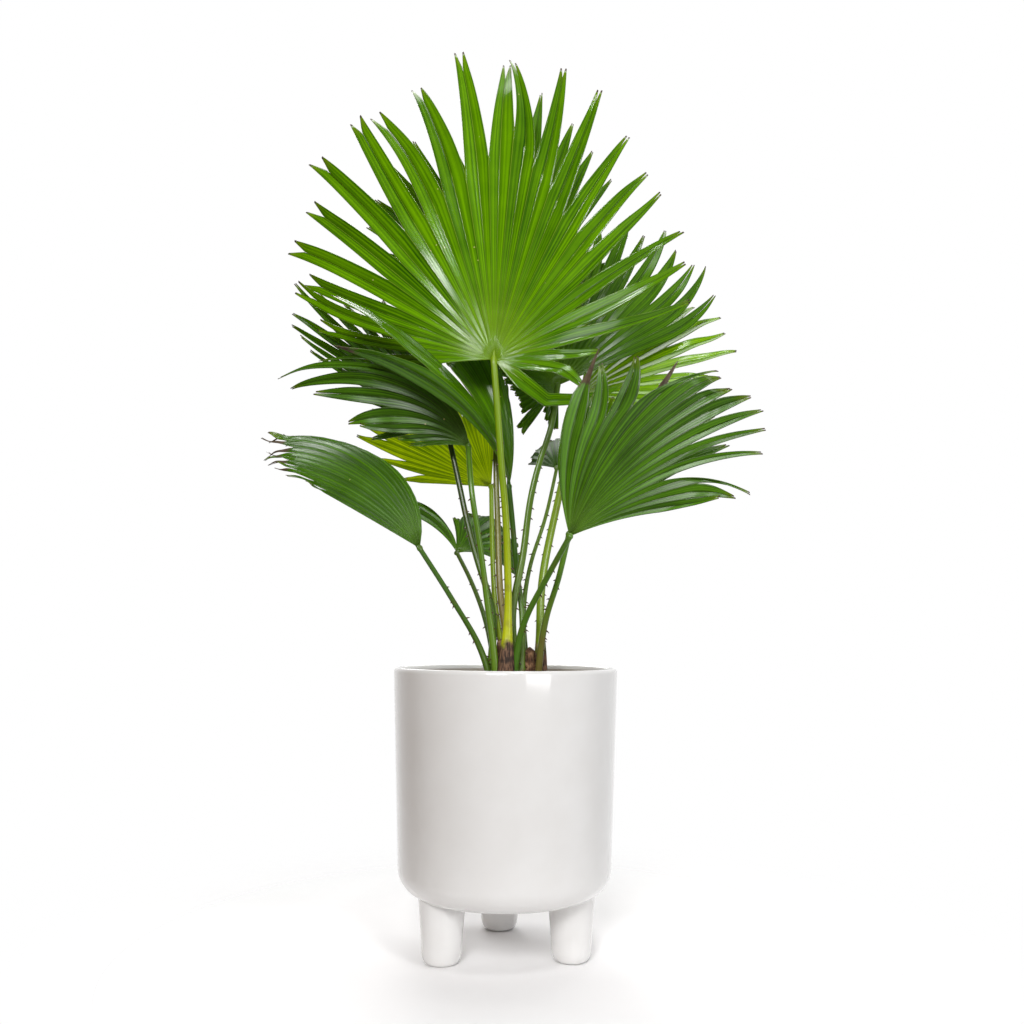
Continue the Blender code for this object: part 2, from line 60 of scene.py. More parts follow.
# Pot and soil, as in the CAD model but for a tighter bottom corner and a taller lip
RIM_RADIUS = 0.0950
POT_HEIGHT = 0.2356
BODY_RADIUS = 0.0897
UNDERSIDE_Z = 0.0498
CORNER_WIDTH = 0.018
CORNER_HEIGHT = 0.021
RIM_WALL = 0.0046
BODY_WALL = 0.0057
LIP_HEIGHT = 0.0036
FLOOR_THICKNESS = 0.0077
INNER_CORNER_HEIGHT = 0.026
FOOT_CIRCLE = 0.0606
FOOT_ANGLES = (-145.6, -25.6, 94.4)
FOOT_PROFILE = ((0, 0), (0.0110, 0), (0.0138, 0.0010), (0.0155, 0.0038), (0.0163, 0.0085),
                (0.0171, 0.0240), (0.0188, 0.0450))
FOOT_NECK = 0.019  # radius at which a foot nears the underside
FOOT_SPREAD = 0.07  # how much wider a foot grows for each unit of height above its profile
FOOT_FILLET = 0.0030
FOOT_OVERLAP = 0.004  # how far a foot's hidden top reaches into the pot's floor
SOIL_Z = 0.212
SOIL_RADIUS = 0.0800
SOIL_EDGE = SOIL_RADIUS - 0.001
SOIL_FOOT_RADIUS = 0.0605

# Stems: centre, foot radius, top radius and top height
STEMS = {
    "main": ((-0.0020, -0.0080), 0.0063, 0.0048, 0.262),
    "side": ((0.0205, 0.0010), 0.0040, 0.0034, 0.254),
}
HAIRS = {"main": (11, 30), "side": (12, 16)}  # seed and number of loose hairs
PETIOLE_RING = {"main": 0.0104, "side": 0.0082}
PETIOLE_FOOT_Z = SOIL_Z + 0.0005
THORN_SPACING = 0.0115
THORNY_SHARE = 0.72  # share of a stalk that carries thorns

# Blades
BLADE_START = 0.0022  # radius at which the ribs leave the hastula
PRONG = 0.0013  # width of each point of a forked tip
PLEAT_START = 0.030
SHEET = 0.0005  # thickness of the fine blade
COLUMN = np.linspace(0, 1, 7)  # from a rib to the edge of its segment, in 6 quads
FUSED_ROWS = 15
FREE_ROWS = 20
INSET = 0.988  # the fine blade ends just inside its solid
VEINS = 3  # drawn across each half segment
DRY_FADE = 0.12  # share of a strip over which it goes from green to dried
DRY_SHRINK = 0.55  # share of its width that a strip loses as it dries


def even(first, last, count):
    """Evenly spaced values across a fan."""
    return tuple(np.linspace(first, last, count))


@dataclass
class Leaf:
    """One leaf: stalk and fan blade, with the finish of each.

    Stalk: clump is the stem that it stands at, foot_bearing its bearing there, route the points that
    it passes and girth its radius at the foot, half way and at the blade. stalk holds the colours of
    its foot and top. sheath is the share wrapped in brown fibre, and how far that swells the foot.

    Fan: hastula is the point where the stalk ends and the ribs start. aim is the direction of bearing
    0 and face the side that the upper surface looks to. ribs are the bearings of the segments, and
    tips the bearings that their tips end on. reach gives (bearing, length) knots. splits are the
    shares of the length at which neighbours part, either one for each edge or five across the fan.
    rise, droop and sweep hold five values across the fan: the angle out of the plane at the start,
    the turn away from the face by the tip, and the turn within the plane by the tip, which grows with
    the length to sweep_power. fork holds the half width of a tip and notch the depth of the cleft in
    it, five values each, in millimetres.

    Segments: pleat is the depth of the folds against their width, and phase sets the small uneven
    steps between neighbours. kinks lists (segment, share of its free length) at which one bends to
    its tip, and dry (segment, share of its length) from which it has dried brown. taper is the power
    of their narrowing: the larger it is, the longer they stay broad.
    """

    name: str
    clump: str
    foot_bearing: float
    route: tuple
    girth: tuple
    hastula: tuple
    aim: tuple
    face: tuple
    ribs: tuple
    reach: tuple
    splits: tuple
    finish: str
    stalk: tuple
    tips: tuple = ()
    rise: tuple = (0, 0, 0, 0, 0)
    droop: tuple = (0, 0, 0, 0, 0)
    sweep: tuple = (0, 0, 0, 0, 0)
    sweep_power: float = 1.0
    pleat: float = 0.30
    phase: float = 0.0
    fork: tuple = (1.2, 1.2, 1.2, 1.2, 1.2)
    notch: tuple = (6, 6, 6, 6, 6)
    kinks: tuple = ()
    dry: tuple = ()
    taper: float = 1.25
    sheath: tuple = (0.04, 0.16)


LEAVES = (
    Leaf(
        name="crown_front", clump="main", foot_bearing=280,
        route=((2, -22, 301), (1, -26, 326), (0, -32, 358), (-4, -38, 399), (-7, -45, 440)),
        girth=(3.3, 2.9, 2.6),
        hastula=(-11, -50, 489), aim=(0.02, 0.15, 1), face=(0, -1, 0.16),
        ribs=(-90, -81, -73, -66, -57, -48, -39, -30, -21.5, -13.5, -6, 0, 6, 12, 18.5, 26, 33.5, 41,
              50, 61, 73, 84, 97, 126),
        tips=(-85, -75, -66, -63.5, -57.5, -47.5, -40, -29, -25, -16, -7.5, 0.5, 1.5, 10.5, 18,
              26.5, 34.5, 40, 51, 58, 67.5, 82, 105, 95),
        reach=((-90, 116), (-81, 162), (-73, 194), (-66, 194), (-57, 219), (-48, 238), (-39, 255),
               (-30, 272), (-21.5, 284), (-13.5, 305), (-6, 316), (0, 315), (6, 313), (12, 307),
               (18.5, 289), (26, 259), (33.5, 237), (41, 226), (50, 208), (61, 195), (73, 186),
               (84, 92), (97, 80), (126, 118)),
        splits=(0.4, 0.5, 0.5, 0.5, 0.48, 0.52, 0.49, 0.54, 0.51, 0.55, 0.57, 0.6, 0.7, 0.62, 0.58,
                0.56, 0.57, 0.55, 0.45, 0.4, 0.42, 0.5, 0.6, 0.28, 0.25),
        rise=(0, 4, 0, 4, 0),
        droop=(36, 22, 8, 22, 36),
        finish="fresh", stalk=("#D8E01E", "#86A810"), phase=0.3,
        fork=(5, 6.5, 2.2, 1.8, 2.2),
        notch=(18, 22, 12, 7, 8),
        kinks=((23, 0.33), (22, 0.5)),
        sheath=(0.17, 1.3),
    ),
    Leaf(
        name="crown_back", clump="main", foot_bearing=44,
        route=((-5, 3, 293), (-7, 9, 346), (-10, 14, 426)),
        girth=(3.2, 2.4, 2.2),
        hastula=(-3, 45, 562), aim=(-0.03, 0.13, 1), face=(0, -1, 0.15),
        ribs=even(-61, 91, 18),
        reach=((-61, 160), (-43, 185), (-25, 205), (-12, 225), (-7, 230), (2, 262), (11, 258),
               (20, 220), (33, 195), (50, 146), (86, 118)),
        splits=(0.6, 0.6, 0.6, 0.6, 0.6),
        droop=(20, 12, 8, 12, 20),
        finish="green", stalk=("#8C7B3E", "#7C8A34"), phase=1.1,
        sheath=(0.12, 0.5),
    ),
    Leaf(
        name="right_upper", clump="main", foot_bearing=358,
        route=((5, -6, 283), (14, -3, 327), (21, 8, 384), (29, 12, 417), (40, 16, 449)),
        girth=(3.3, 2.8, 2.4),
        hastula=(45, 20, 486), aim=(0.28, 0.12, 0.88), face=(0.2, -0.95, 0.25),
        ribs=(*even(-196, -14, 23), -7, -1, 6, 12, 18, 25, 31, 37, 43),
        reach=((-196, 40), (-184, 38), (-178, 33), (-171, 28), (-163, 55), (-155, 54), (-147, 42),
               (-130, 38), (-115, 42), (-100, 54), (-85, 70), (-75, 84), (-50, 112), (-20, 142),
               (-7, 165), (-1, 186), (6, 204), (12, 185), (18, 231), (25, 200), (31, 209), (37, 210),
               (43, 197)),
        splits=(0.97, 0.95, 0.95, 0.95, 0.6, 0.92, 0.75, 0.95, 0.95, 0.95, 0.94, 0.92, 0.9, 0.86,
                *even(0.82, 0.68, 8), 0.66, 0.66, 0.64, 0.64, *even(0.62, 0.62, 7)),
        droop=(22, 16, 10, 16, 20),
        finish="green", stalk=("#5E7A1E", "#6E9430"), phase=2.0,
        tips=(*even(-196, -14, 23), -7, -2.5, 5, 11, 15, 21, 27, 30, 38),
        taper=2.0,
        notch=(1, 1, 6, 6, 6),
    ),
    Leaf(
        name="left_middle", clump="main", foot_bearing=240,
        route=((-17, -18, 301), (-23, -22, 344), (-29, -26, 381)),
        girth=(3.3, 2.4, 2.2),
        hastula=(-33, -12, 424), aim=(-0.1, -0.25, 0.95), face=(0, -0.95, -0.25),
        ribs=(-64, -54, -44, -34, -25, -16, -8, 0, 8),
        reach=((-64, 52), (-54, 53), (-44, 65), (-34, 101), (-25, 116), (-16, 153), (-8, 187),
               (0, 213), (8, 177)),
        splits=(0.45, 0.51, 0.66, 0.69, 0.61, 0.67, 0.63, 0.58, 0.51, 0.51),
        sweep=(-30, -60, -80, -95, -105),
        sweep_power=0.6,
        droop=(5, 14, 16, 25, 38),
        finish="dusty", stalk=("#6E9422", "#5E8A1C"), phase=2.7,
        tips=(-62, -48, -39.5, -26.5, -24.5, -13, -8.5, -1, 6),
        taper=2.4,
    ),
    Leaf(
        name="left_low", clump="main", foot_bearing=200,
        route=((-19, -14, 246), (-44, -36, 292)),
        girth=(3.2, 2.2, 2.0),
        hastula=(-69, -60, 332), aim=(-0.57, -0.3, 0.82), face=(0.05, -1, 0.45),
        ribs=even(-22, 48, 14),
        reach=((-22, 108), (-11, 130), (0, 146), (16, 158), (32, 167), (42, 164), (48, 158)),
        splits=(0.8, 0.82, 0.84, 0.84, 0.8),
        sweep=(0, -35, -70, -100, -130),
        droop=(10, 20, 30, 40, 50),
        pleat=0.20,
        finish="deep", stalk=("#5A7A26", "#4E7A22"), phase=3.4,
        taper=1.6,
        dry=((2, 0.93), (4, 0.9), (5, 0.92), (7, 0.88), (8, 0.9), (10, 0.86), (11, 0.84), (12, 0.86),
             (13, 0.82)),
    ),
    Leaf(
        name="pale", clump="main", foot_bearing=84,
        route=((-10, 8, 294), (-12, 14, 329)),
        girth=(3.2, 2.2, 2.0),
        hastula=(-14, 30, 396), aim=(-0.7, 0.36, 0.55), face=(-0.35, -0.85, 0.2),
        ribs=even(-26, 50, 13),
        reach=((-26, 98), (-19, 128), (-12, 166), (1, 176), (13, 136), (25, 104), (38, 74), (50, 52)),
        splits=(0.75, 0.75, 0.78, 0.9, 0.95),
        droop=(8, 8, 12, 12, 12),
        finish="pale", stalk=("#A4BC2C", "#9CC02A"), phase=4.2,
        notch=(6, 6, 5, 1, 1),
    ),
    Leaf(
        name="right_low", clump="main", foot_bearing=320,
        route=((14, -22, 270), (32, -45, 307)),
        girth=(3.2, 2.4, 2.2),
        hastula=(50, -80, 340), aim=(0.42, -0.3, 0.9), face=(-0.2, -0.95, -0.2),
        ribs=(-36, -25, -19, -9, -3, 2, 7, 12.5, 17, 21, 27, 33, 38),
        tips=(-39, -35, -26, -4, -1.5, 3.5, 8, 12.5, 18, 24, 35, 36, 36),
        reach=((-36, 154), (-25, 139), (-19, 151), (-9, 176), (-3, 171), (2, 170), (7, 177),
               (12.5, 179), (17, 171), (21, 162), (27, 143), (34, 130), (40, 116)),
        splits=(0.6, 0.61, 0.67, 0.74, 0.87, 0.85, 0.89, 0.75, 0.67, 0.56, 0.54, 0.8, 0.78, 0.6),
        sweep=(44, 40, 38, 34, 28),
        droop=(15, 12, 8, 6, -4),
        finish="dusty", stalk=("#4E7A1E", "#62902C"), phase=5.0,
        dry=((0, 0.78),),
        taper=1.7,
    ),
    Leaf(
        name="centre", clump="side", foot_bearing=222,
        route=((14, 5, 283), (9, 8, 319), (5, 2, 363)),
        girth=(3.0, 2.4, 2.2),
        hastula=(2, -2, 391), aim=(0, -0.12, 1), face=(0.1, -1, -0.1),
        ribs=(-9, -3, 0, 2.5, 5, 8, 11, 14),
        reach=((-9, 216), (-3, 227), (0, 122), (2.5, 128), (5, 130), (8, 126), (11, 116),
               (14, 100)),
        splits=(0.5, 0.62, 0.55, 0.9, 0.92, 0.92, 0.9, 0.85, 0.7),
        sweep=(-83, -78, -50, -30, -30),
        sweep_power=0.7,
        rise=(31, 31, 0, 0, 0),
        droop=(0, 0, 0, 20, 30),
        finish="green", stalk=("#6A8A26", "#4F7F1E"), phase=5.7,
        tips=(-9, -0.5, 0, 2.5, 5, 8, 11, 14),
        dry=((0, 0.93),),
        sheath=(0.12, 0.4),
        taper=1.8,
    ),
    Leaf(
        name="left_upper", clump="main", foot_bearing=162,
        route=((-11, -2, 283), (-25, 4, 327), (-33, 6, 356), (-43, 10, 401)),
        girth=(3.4, 2.6, 2.2),
        hastula=(-54, 14, 448), aim=(-0.75, 0.18, 0.6), face=(-0.25, -0.88, 0.3),
        ribs=(-44, -34, -25, -16, -8, -5, -2, 2, 7, 11, 16, 22, 29, 36, 44),
        reach=((-44, 70), (-34, 76), (-25, 80), (-16, 95), (-8, 160), (-5, 171), (-2, 195), (2, 204),
               (7, 214), (11, 188), (16, 170), (44, 120)),
        splits=(0.6, 0.6, 0.6, 0.65, 0.7, 0.65, 0.65, 0.65, *even(0.6, 0.6, 8)),
        sweep=(-5, -5, -5, -10, -10),
        droop=(15, 10, 8, 10, 15),
        finish="deep", stalk=("#6A9428", "#3A5214"), phase=0.7,
        tips=(-44, -34, -25, -16, -5, -3, -0.5, 3, 9.5, 12, 17, 22, 29, 36, 44),
        taper=1.8,
    ),
    Leaf(
        name="rear_small", clump="side", foot_bearing=100,
        route=((15, 18, 285), (21, 34, 325), (35, 55, 369)),
        girth=(2.8, 1.8, 1.6),
        hastula=(47, 80, 422), aim=(-0.05, 0.45, 0.85), face=(-0.1, -0.85, 0.5),
        ribs=even(-60, 60, 8),
        reach=((-60, 30), (-26, 38), (10, 56), (43, 64), (60, 55)),
        splits=(0.97, 0.97, 0.97, 0.97, 0.97),
        droop=(20, 30, 40, 40, 40),
        finish="dusty", stalk=("#5E8426", "#7EA040"), phase=1.6,
        fork=(4, 4, 4, 4, 4),
        notch=(1, 1, 1, 1, 1),
        pleat=0.16,
    ),
    Leaf(
        name="right_middle", clump="side", foot_bearing=14,
        route=((31, 12, 310), (42, 24, 366), (48, 30, 393)),
        girth=(3.6, 3.3, 2.8),
        hastula=(67, 55, 488), aim=(0.92, -0.03, 0.36), face=(0, -0.8, 0.6),
        ribs=even(-57, 67, 13),
        reach=((-57, 160), (-38, 156), (-25, 170), (-19, 167), (-9, 163), (8, 145), (16, 116),
               (67, 99)),
        splits=(0.6, 0.6, 0.6, 0.6, 0.6),
        droop=(12, 9, 7, 9, 14),
        # painted light: this leaf wears the lighter copy of the fresh green, as if it stood in full
        # light
        finish="bright", stalk=("#86A626", "#8FAE30"), phase=2.3,
        sheath=(0.15, 0.8),
        taper=1.8,
    ),
    Leaf(
        name="rear_low", clump="main", foot_bearing=124,
        route=((-14, 10, 261), (-32, 40, 312)),
        girth=(3.0, 2.0, 1.8),
        hastula=(-46, 60, 339), aim=(0.40, 0.35, 0.85), face=(-0.1, -0.85, 0.5),
        ribs=(-45, -32, -20, -6, 8, 22, 34, 44, 54),
        reach=((-45, 92), (-32, 92), (-20, 40), (-6, 51), (8, 57), (22, 60), (34, 63), (44, 70),
               (54, 76)),
        splits=(0.6, 0.7, 0.12, 0.95, 0.95, 0.92, 0.9, 0.88, 0.85, 0.7),
        sweep=(-50, -40, 5, 25, 70),
        droop=(0, 10, 30, 55, 65),
        finish="dusty", stalk=("#46682A", "#56702E"), phase=3.1,
        notch=(4, 2, 1, 1, 1),
        pleat=0.20,
    ),
    Leaf(
        name="right_inner", clump="side", foot_bearing=318,
        route=((34, -16, 278), (43, -32, 308)),
        girth=(3.2, 2.4, 2.2),
        hastula=(51, -50, 345), aim=(0.4, -0.08, 0.9), face=(0, -1, 0.2),
        ribs=even(-34, 39, 9),
        reach=((-34, 107), (-25, 118), (-16, 120), (-7, 108), (2.5, 168), (11.5, 143), (21, 152),
               (30, 150), (39, 105)),
        splits=(0.56, 0.64, 0.64, 0.7, 0.8, 0.8, 0.62, 0.6, 0.6, 0.57),
        sweep=(20, 20, 15, 10, 10),
        droop=(0, 4, 5, 8, 12),
        finish="green", stalk=("#7C6E38", "#6B9A2C"), phase=3.9,
        tips=(-34, -24.5, -15.5, -14, 0, 11.5, 22, 31, 38),
        dry=((4, 0.72),),
        taper=1.7,
    ),
)


# ------------------------------------------------------------------ materials


def linear(code):
    """Linear colour of an sRGB hex value."""
    values = [int(code[k:k + 2], 16) / 255 for k in (1, 3, 5)]
    return (*(v / 12.92 if v <= 0.04045 else ((v + 0.055) / 1.055) ** 2.4 for v in values), 1.0)


def start(name):
    """New material with an empty tree, and the function that adds a node to it."""
    made = bpy.data.materials.new(name)
    made.use_nodes = True
    made.node_tree.nodes.clear()
    return made, partial(node, made.node_tree)


def node(tree, kind, feeds, out=0, **settings):
    """Adds a shader node. Feeds map its inputs, by name or place, to sockets, values or hex codes."""
    made = tree.nodes.new("ShaderNode" + kind)
    for name, value in settings.items():
        setattr(made, name, value)
    for key, value in feeds.items():
        if isinstance(value, bpy.types.NodeSocket):
            tree.links.new(value, made.inputs[key])
        elif isinstance(value, str) and value.startswith("#"):
            made.inputs[key].default_value = linear(value)
        else:
            made.inputs[key].default_value = value
    return made.outputs[out] if made.outputs else None


COLOURS = {"data_type": "RGBA"}
RAMP = {"interpolation_type": "SMOOTHSTEP"}
TIMES_PLUS = {"operation": "MULTIPLY_ADD"}


def glazed_earthenware(name, pool, crest):
    """White glaze fired on clay: a clear deep gloss that lies in faint long ripples and pools."""
    made, add = start(f"white glaze on earthenware, {name}")
    place = add("TexCoord", {}, "Object")
    pooled = add("TexNoise", {"Vector": place, "Scale": 1 / 0.028, "Detail": 2.0})
    ripple = add("TexNoise", {"Vector": place, "Scale": 1 / 0.011, "Detail": 1.0})
    colour = add("Mix", {0: pooled, 6: pool, 7: crest}, 2, **COLOURS)
    height = add("Math", {0: ripple, 1: 0.25, 2: pooled}, **TIMES_PLUS)
    relief = add("Bump", {"Height": height, "Distance": 0.10 * MM})
    skin = add("BsdfPrincipled", {
        "Base Color": colour, "Roughness": 0.10, "IOR": 1.52, "Normal": relief,
        "Coat Weight": 0.7, "Coat Roughness": 0.05})
    add("OutputMaterial", {"Surface": skin})
    return made


def moulded_polypropylene():
    """Injection-moulded polypropylene: satin black, dulled by dried compost dust."""
    made, add = start("black moulded polypropylene")
    place = add("TexCoord", {}, "Object")
    dust = add("TexNoise", {"Vector": place, "Scale": 1 / 0.006, "Detail": 6.0})
    scuff = add("TexNoise", {"Vector": place, "Scale": 1 / 0.0012, "Detail": 4.0})
    dusty = add("MapRange", {0: dust, 1: 0.50, 2: 0.75, 4: 0.5}, **RAMP)
    colour = add("Mix", {0: dusty, 6: "#1B1A1A", 7: "#4A4037"}, 2, **COLOURS)
    rough = add("Math", {0: dusty, 1: 0.6, 2: 0.42}, **TIMES_PLUS)
    relief = add("Bump", {"Height": scuff, "Distance": 0.05 * MM})
    skin = add("BsdfPrincipled", {
        "Base Color": colour, "Roughness": rough, "IOR": 1.49, "Normal": relief})
    add("OutputMaterial", {"Surface": skin})
    return made


def damp_compost():
    """Peat and bark compost, watered: near-black crumbs 2 mm across with paler fibres, quite matt."""
    made, add = start("damp peat compost")
    place = add("TexCoord", {}, "Object")
    crumbs = add("TexNoise", {"Vector": place, "Scale": 1 / 0.0022, "Detail": 6.0})
    flecks = add("TexNoise", {"Vector": place, "Scale": 1 / 0.0031, "Detail": 2.0})
    shown = add("MapRange", {0: flecks, 1: 0.66, 2: 0.72}, **RAMP)
    colour = add("Mix", {0: crumbs, 6: "#150F0A", 7: "#5A4230"}, 2, **COLOURS)
    colour = add("Mix", {0: shown, 6: colour, 7: "#8A6B4A"}, 2, **COLOURS)
    relief = add("Bump", {"Height": crumbs, "Distance": 1.2 * MM})
    skin = add("BsdfPrincipled", {
        "Base Color": colour, "Roughness": 0.9, "IOR": 1.4, "Normal": relief})
    add("OutputMaterial", {"Surface": skin})
    return made


def sheath_fibre():
    """Old leaf sheaths, woven and torn: matt strands 1.2 mm apart that run upwards, dark between
    them, worn paler in patches 7 mm across."""
    made, add = start("woven leaf sheath fibre")
    place = add("TexCoord", {}, "Object")
    drawn = add("Mapping", {"Vector": place, "Scale": (1, 1, 0.14)})
    strands = add("TexNoise", {"Vector": drawn, "Scale": 1 / 0.0012, "Detail": 6.0})
    patches = add("TexNoise", {"Vector": place, "Scale": 1 / 0.007, "Detail": 3.0})
    worn = add("MapRange", {0: patches, 1: 0.52, 2: 0.72, 4: 0.75}, **RAMP)
    woven = add("MapRange", {0: strands, 1: 0.30, 2: 0.74}, **RAMP)
    colour = add("Mix", {0: woven, 6: "#150C08", 7: "#7E563C"}, 2, **COLOURS)
    colour = add("Mix", {0: worn, 6: colour, 7: "#A07C58"}, 2, **COLOURS)
    relief = add("Bump", {"Height": strands, "Distance": 0.7 * MM})
    skin = add("BsdfPrincipled", {
        "Base Color": colour, "Roughness": 0.8, "IOR": 1.40, "Normal": relief})
    add("OutputMaterial", {"Surface": skin})
    return made


def grained(name, grain, detail, dark, light, roughness, ior, raised=0.0):
    """A finish of two shades that follow a grain of a given size and are raised by it, both in mm."""
    made, add = start(name)
    place = add("TexCoord", {}, "Object")
    tone = add("TexNoise", {"Vector": place, "Scale": 1 / (grain * MM), "Detail": detail})
    colour = add("Mix", {0: tone, 6: dark, 7: light}, 2, **COLOURS)
    relief = add("Bump", {"Height": tone, "Distance": raised * MM})
    skin = add("BsdfPrincipled", {
        "Base Color": colour, "Roughness": roughness, "IOR": ior, "Normal": relief})
    add("OutputMaterial", {"Surface": skin})
    return made


def stalk_skin(name, low, high, wrapped):
    """Waxy skin of a living stalk: a soft gloss over fine lengthwise strands, with brown torn sheath
    fibre round its foot up to the share wrapped.

    The UV map run goes once round the stalk in u and from the foot, 0, to the blade, 1, in v.
    """
    made, add = start(f"waxy stalk skin {name.replace('_', ' ')}")
    place = add("TexCoord", {}, "Object")
    run = add("UVMap", {}, uv_map="run")
    along = add("SeparateXYZ", {0: run}, "Y")
    drawn = add("Mapping", {"Vector": run, "Scale": (16, 4, 1)})
    strands = add("TexNoise", {"Vector": drawn, "Scale": 1.0, "Detail": 3.0})
    fibre = add("Mapping", {"Vector": place, "Scale": (1, 1, 0.2)})
    fibre = add("TexNoise", {"Vector": fibre, "Scale": 1 / 0.0013, "Detail": 5.0})
    bloom = add("TexNoise", {"Vector": place, "Scale": 1 / 0.014, "Detail": 4.0})
    torn = add("TexNoise", {"Vector": place, "Scale": 1 / 0.006, "Detail": 4.0})
    rising = add("MapRange", {0: along, 1: 0.05, 2: 0.75}, **RAMP)
    colour = add("Mix", {0: rising, 6: low, 7: high}, 2, **COLOURS)
    shade = add("Mix", {0: strands, 6: "#989880", 7: "#FFFFFF"}, 2, **COLOURS)
    colour = add("Mix", {0: 0.8, 6: colour, 7: shade}, 2, blend_type="MULTIPLY", **COLOURS)
    rusty = add("MapRange", {0: bloom, 1: 0.56, 2: 0.76, 4: 0.35}, **RAMP)
    colour = add("Mix", {0: rusty, 6: colour, 7: "#6A5430"}, 2, **COLOURS)
    ragged = add("Math", {0: torn, 1: 0.10, 2: along}, **TIMES_PLUS)
    foot = add("MapRange", {
        0: ragged, 1: wrapped + 0.02, 2: wrapped + 0.07, 3: 1.0, 4: 0.0}, **RAMP)
    woven = add("MapRange", {0: fibre, 1: 0.30, 2: 0.74}, **RAMP)
    sheath = add("Mix", {0: woven, 6: "#150C08", 7: "#8E6A50"}, 2, **COLOURS)
    rotted = add("MapRange", {0: torn, 1: 0.46, 2: 0.60, 4: 0.7}, **RAMP)
    sheath = add("Mix", {0: rotted, 6: sheath, 7: "#211610"}, 2, **COLOURS)
    colour = add("Mix", {0: foot, 6: colour, 7: sheath}, 2, **COLOURS)
    rough = add("Math", {0: foot, 1: 0.45, 2: 0.30}, **TIMES_PLUS)
    torn_relief = add("Math", {0: foot, 1: fibre}, operation="MULTIPLY")
    height = add("Math", {0: torn_relief, 1: 6.0, 2: strands}, **TIMES_PLUS)
    relief = add("Bump", {"Height": height, "Distance": 0.10 * MM})
    skin = add("BsdfPrincipled", {
        "Base Color": colour, "Roughness": rough, "IOR": 1.46, "Normal": relief})
    add("OutputMaterial", {"Surface": skin})
    return made


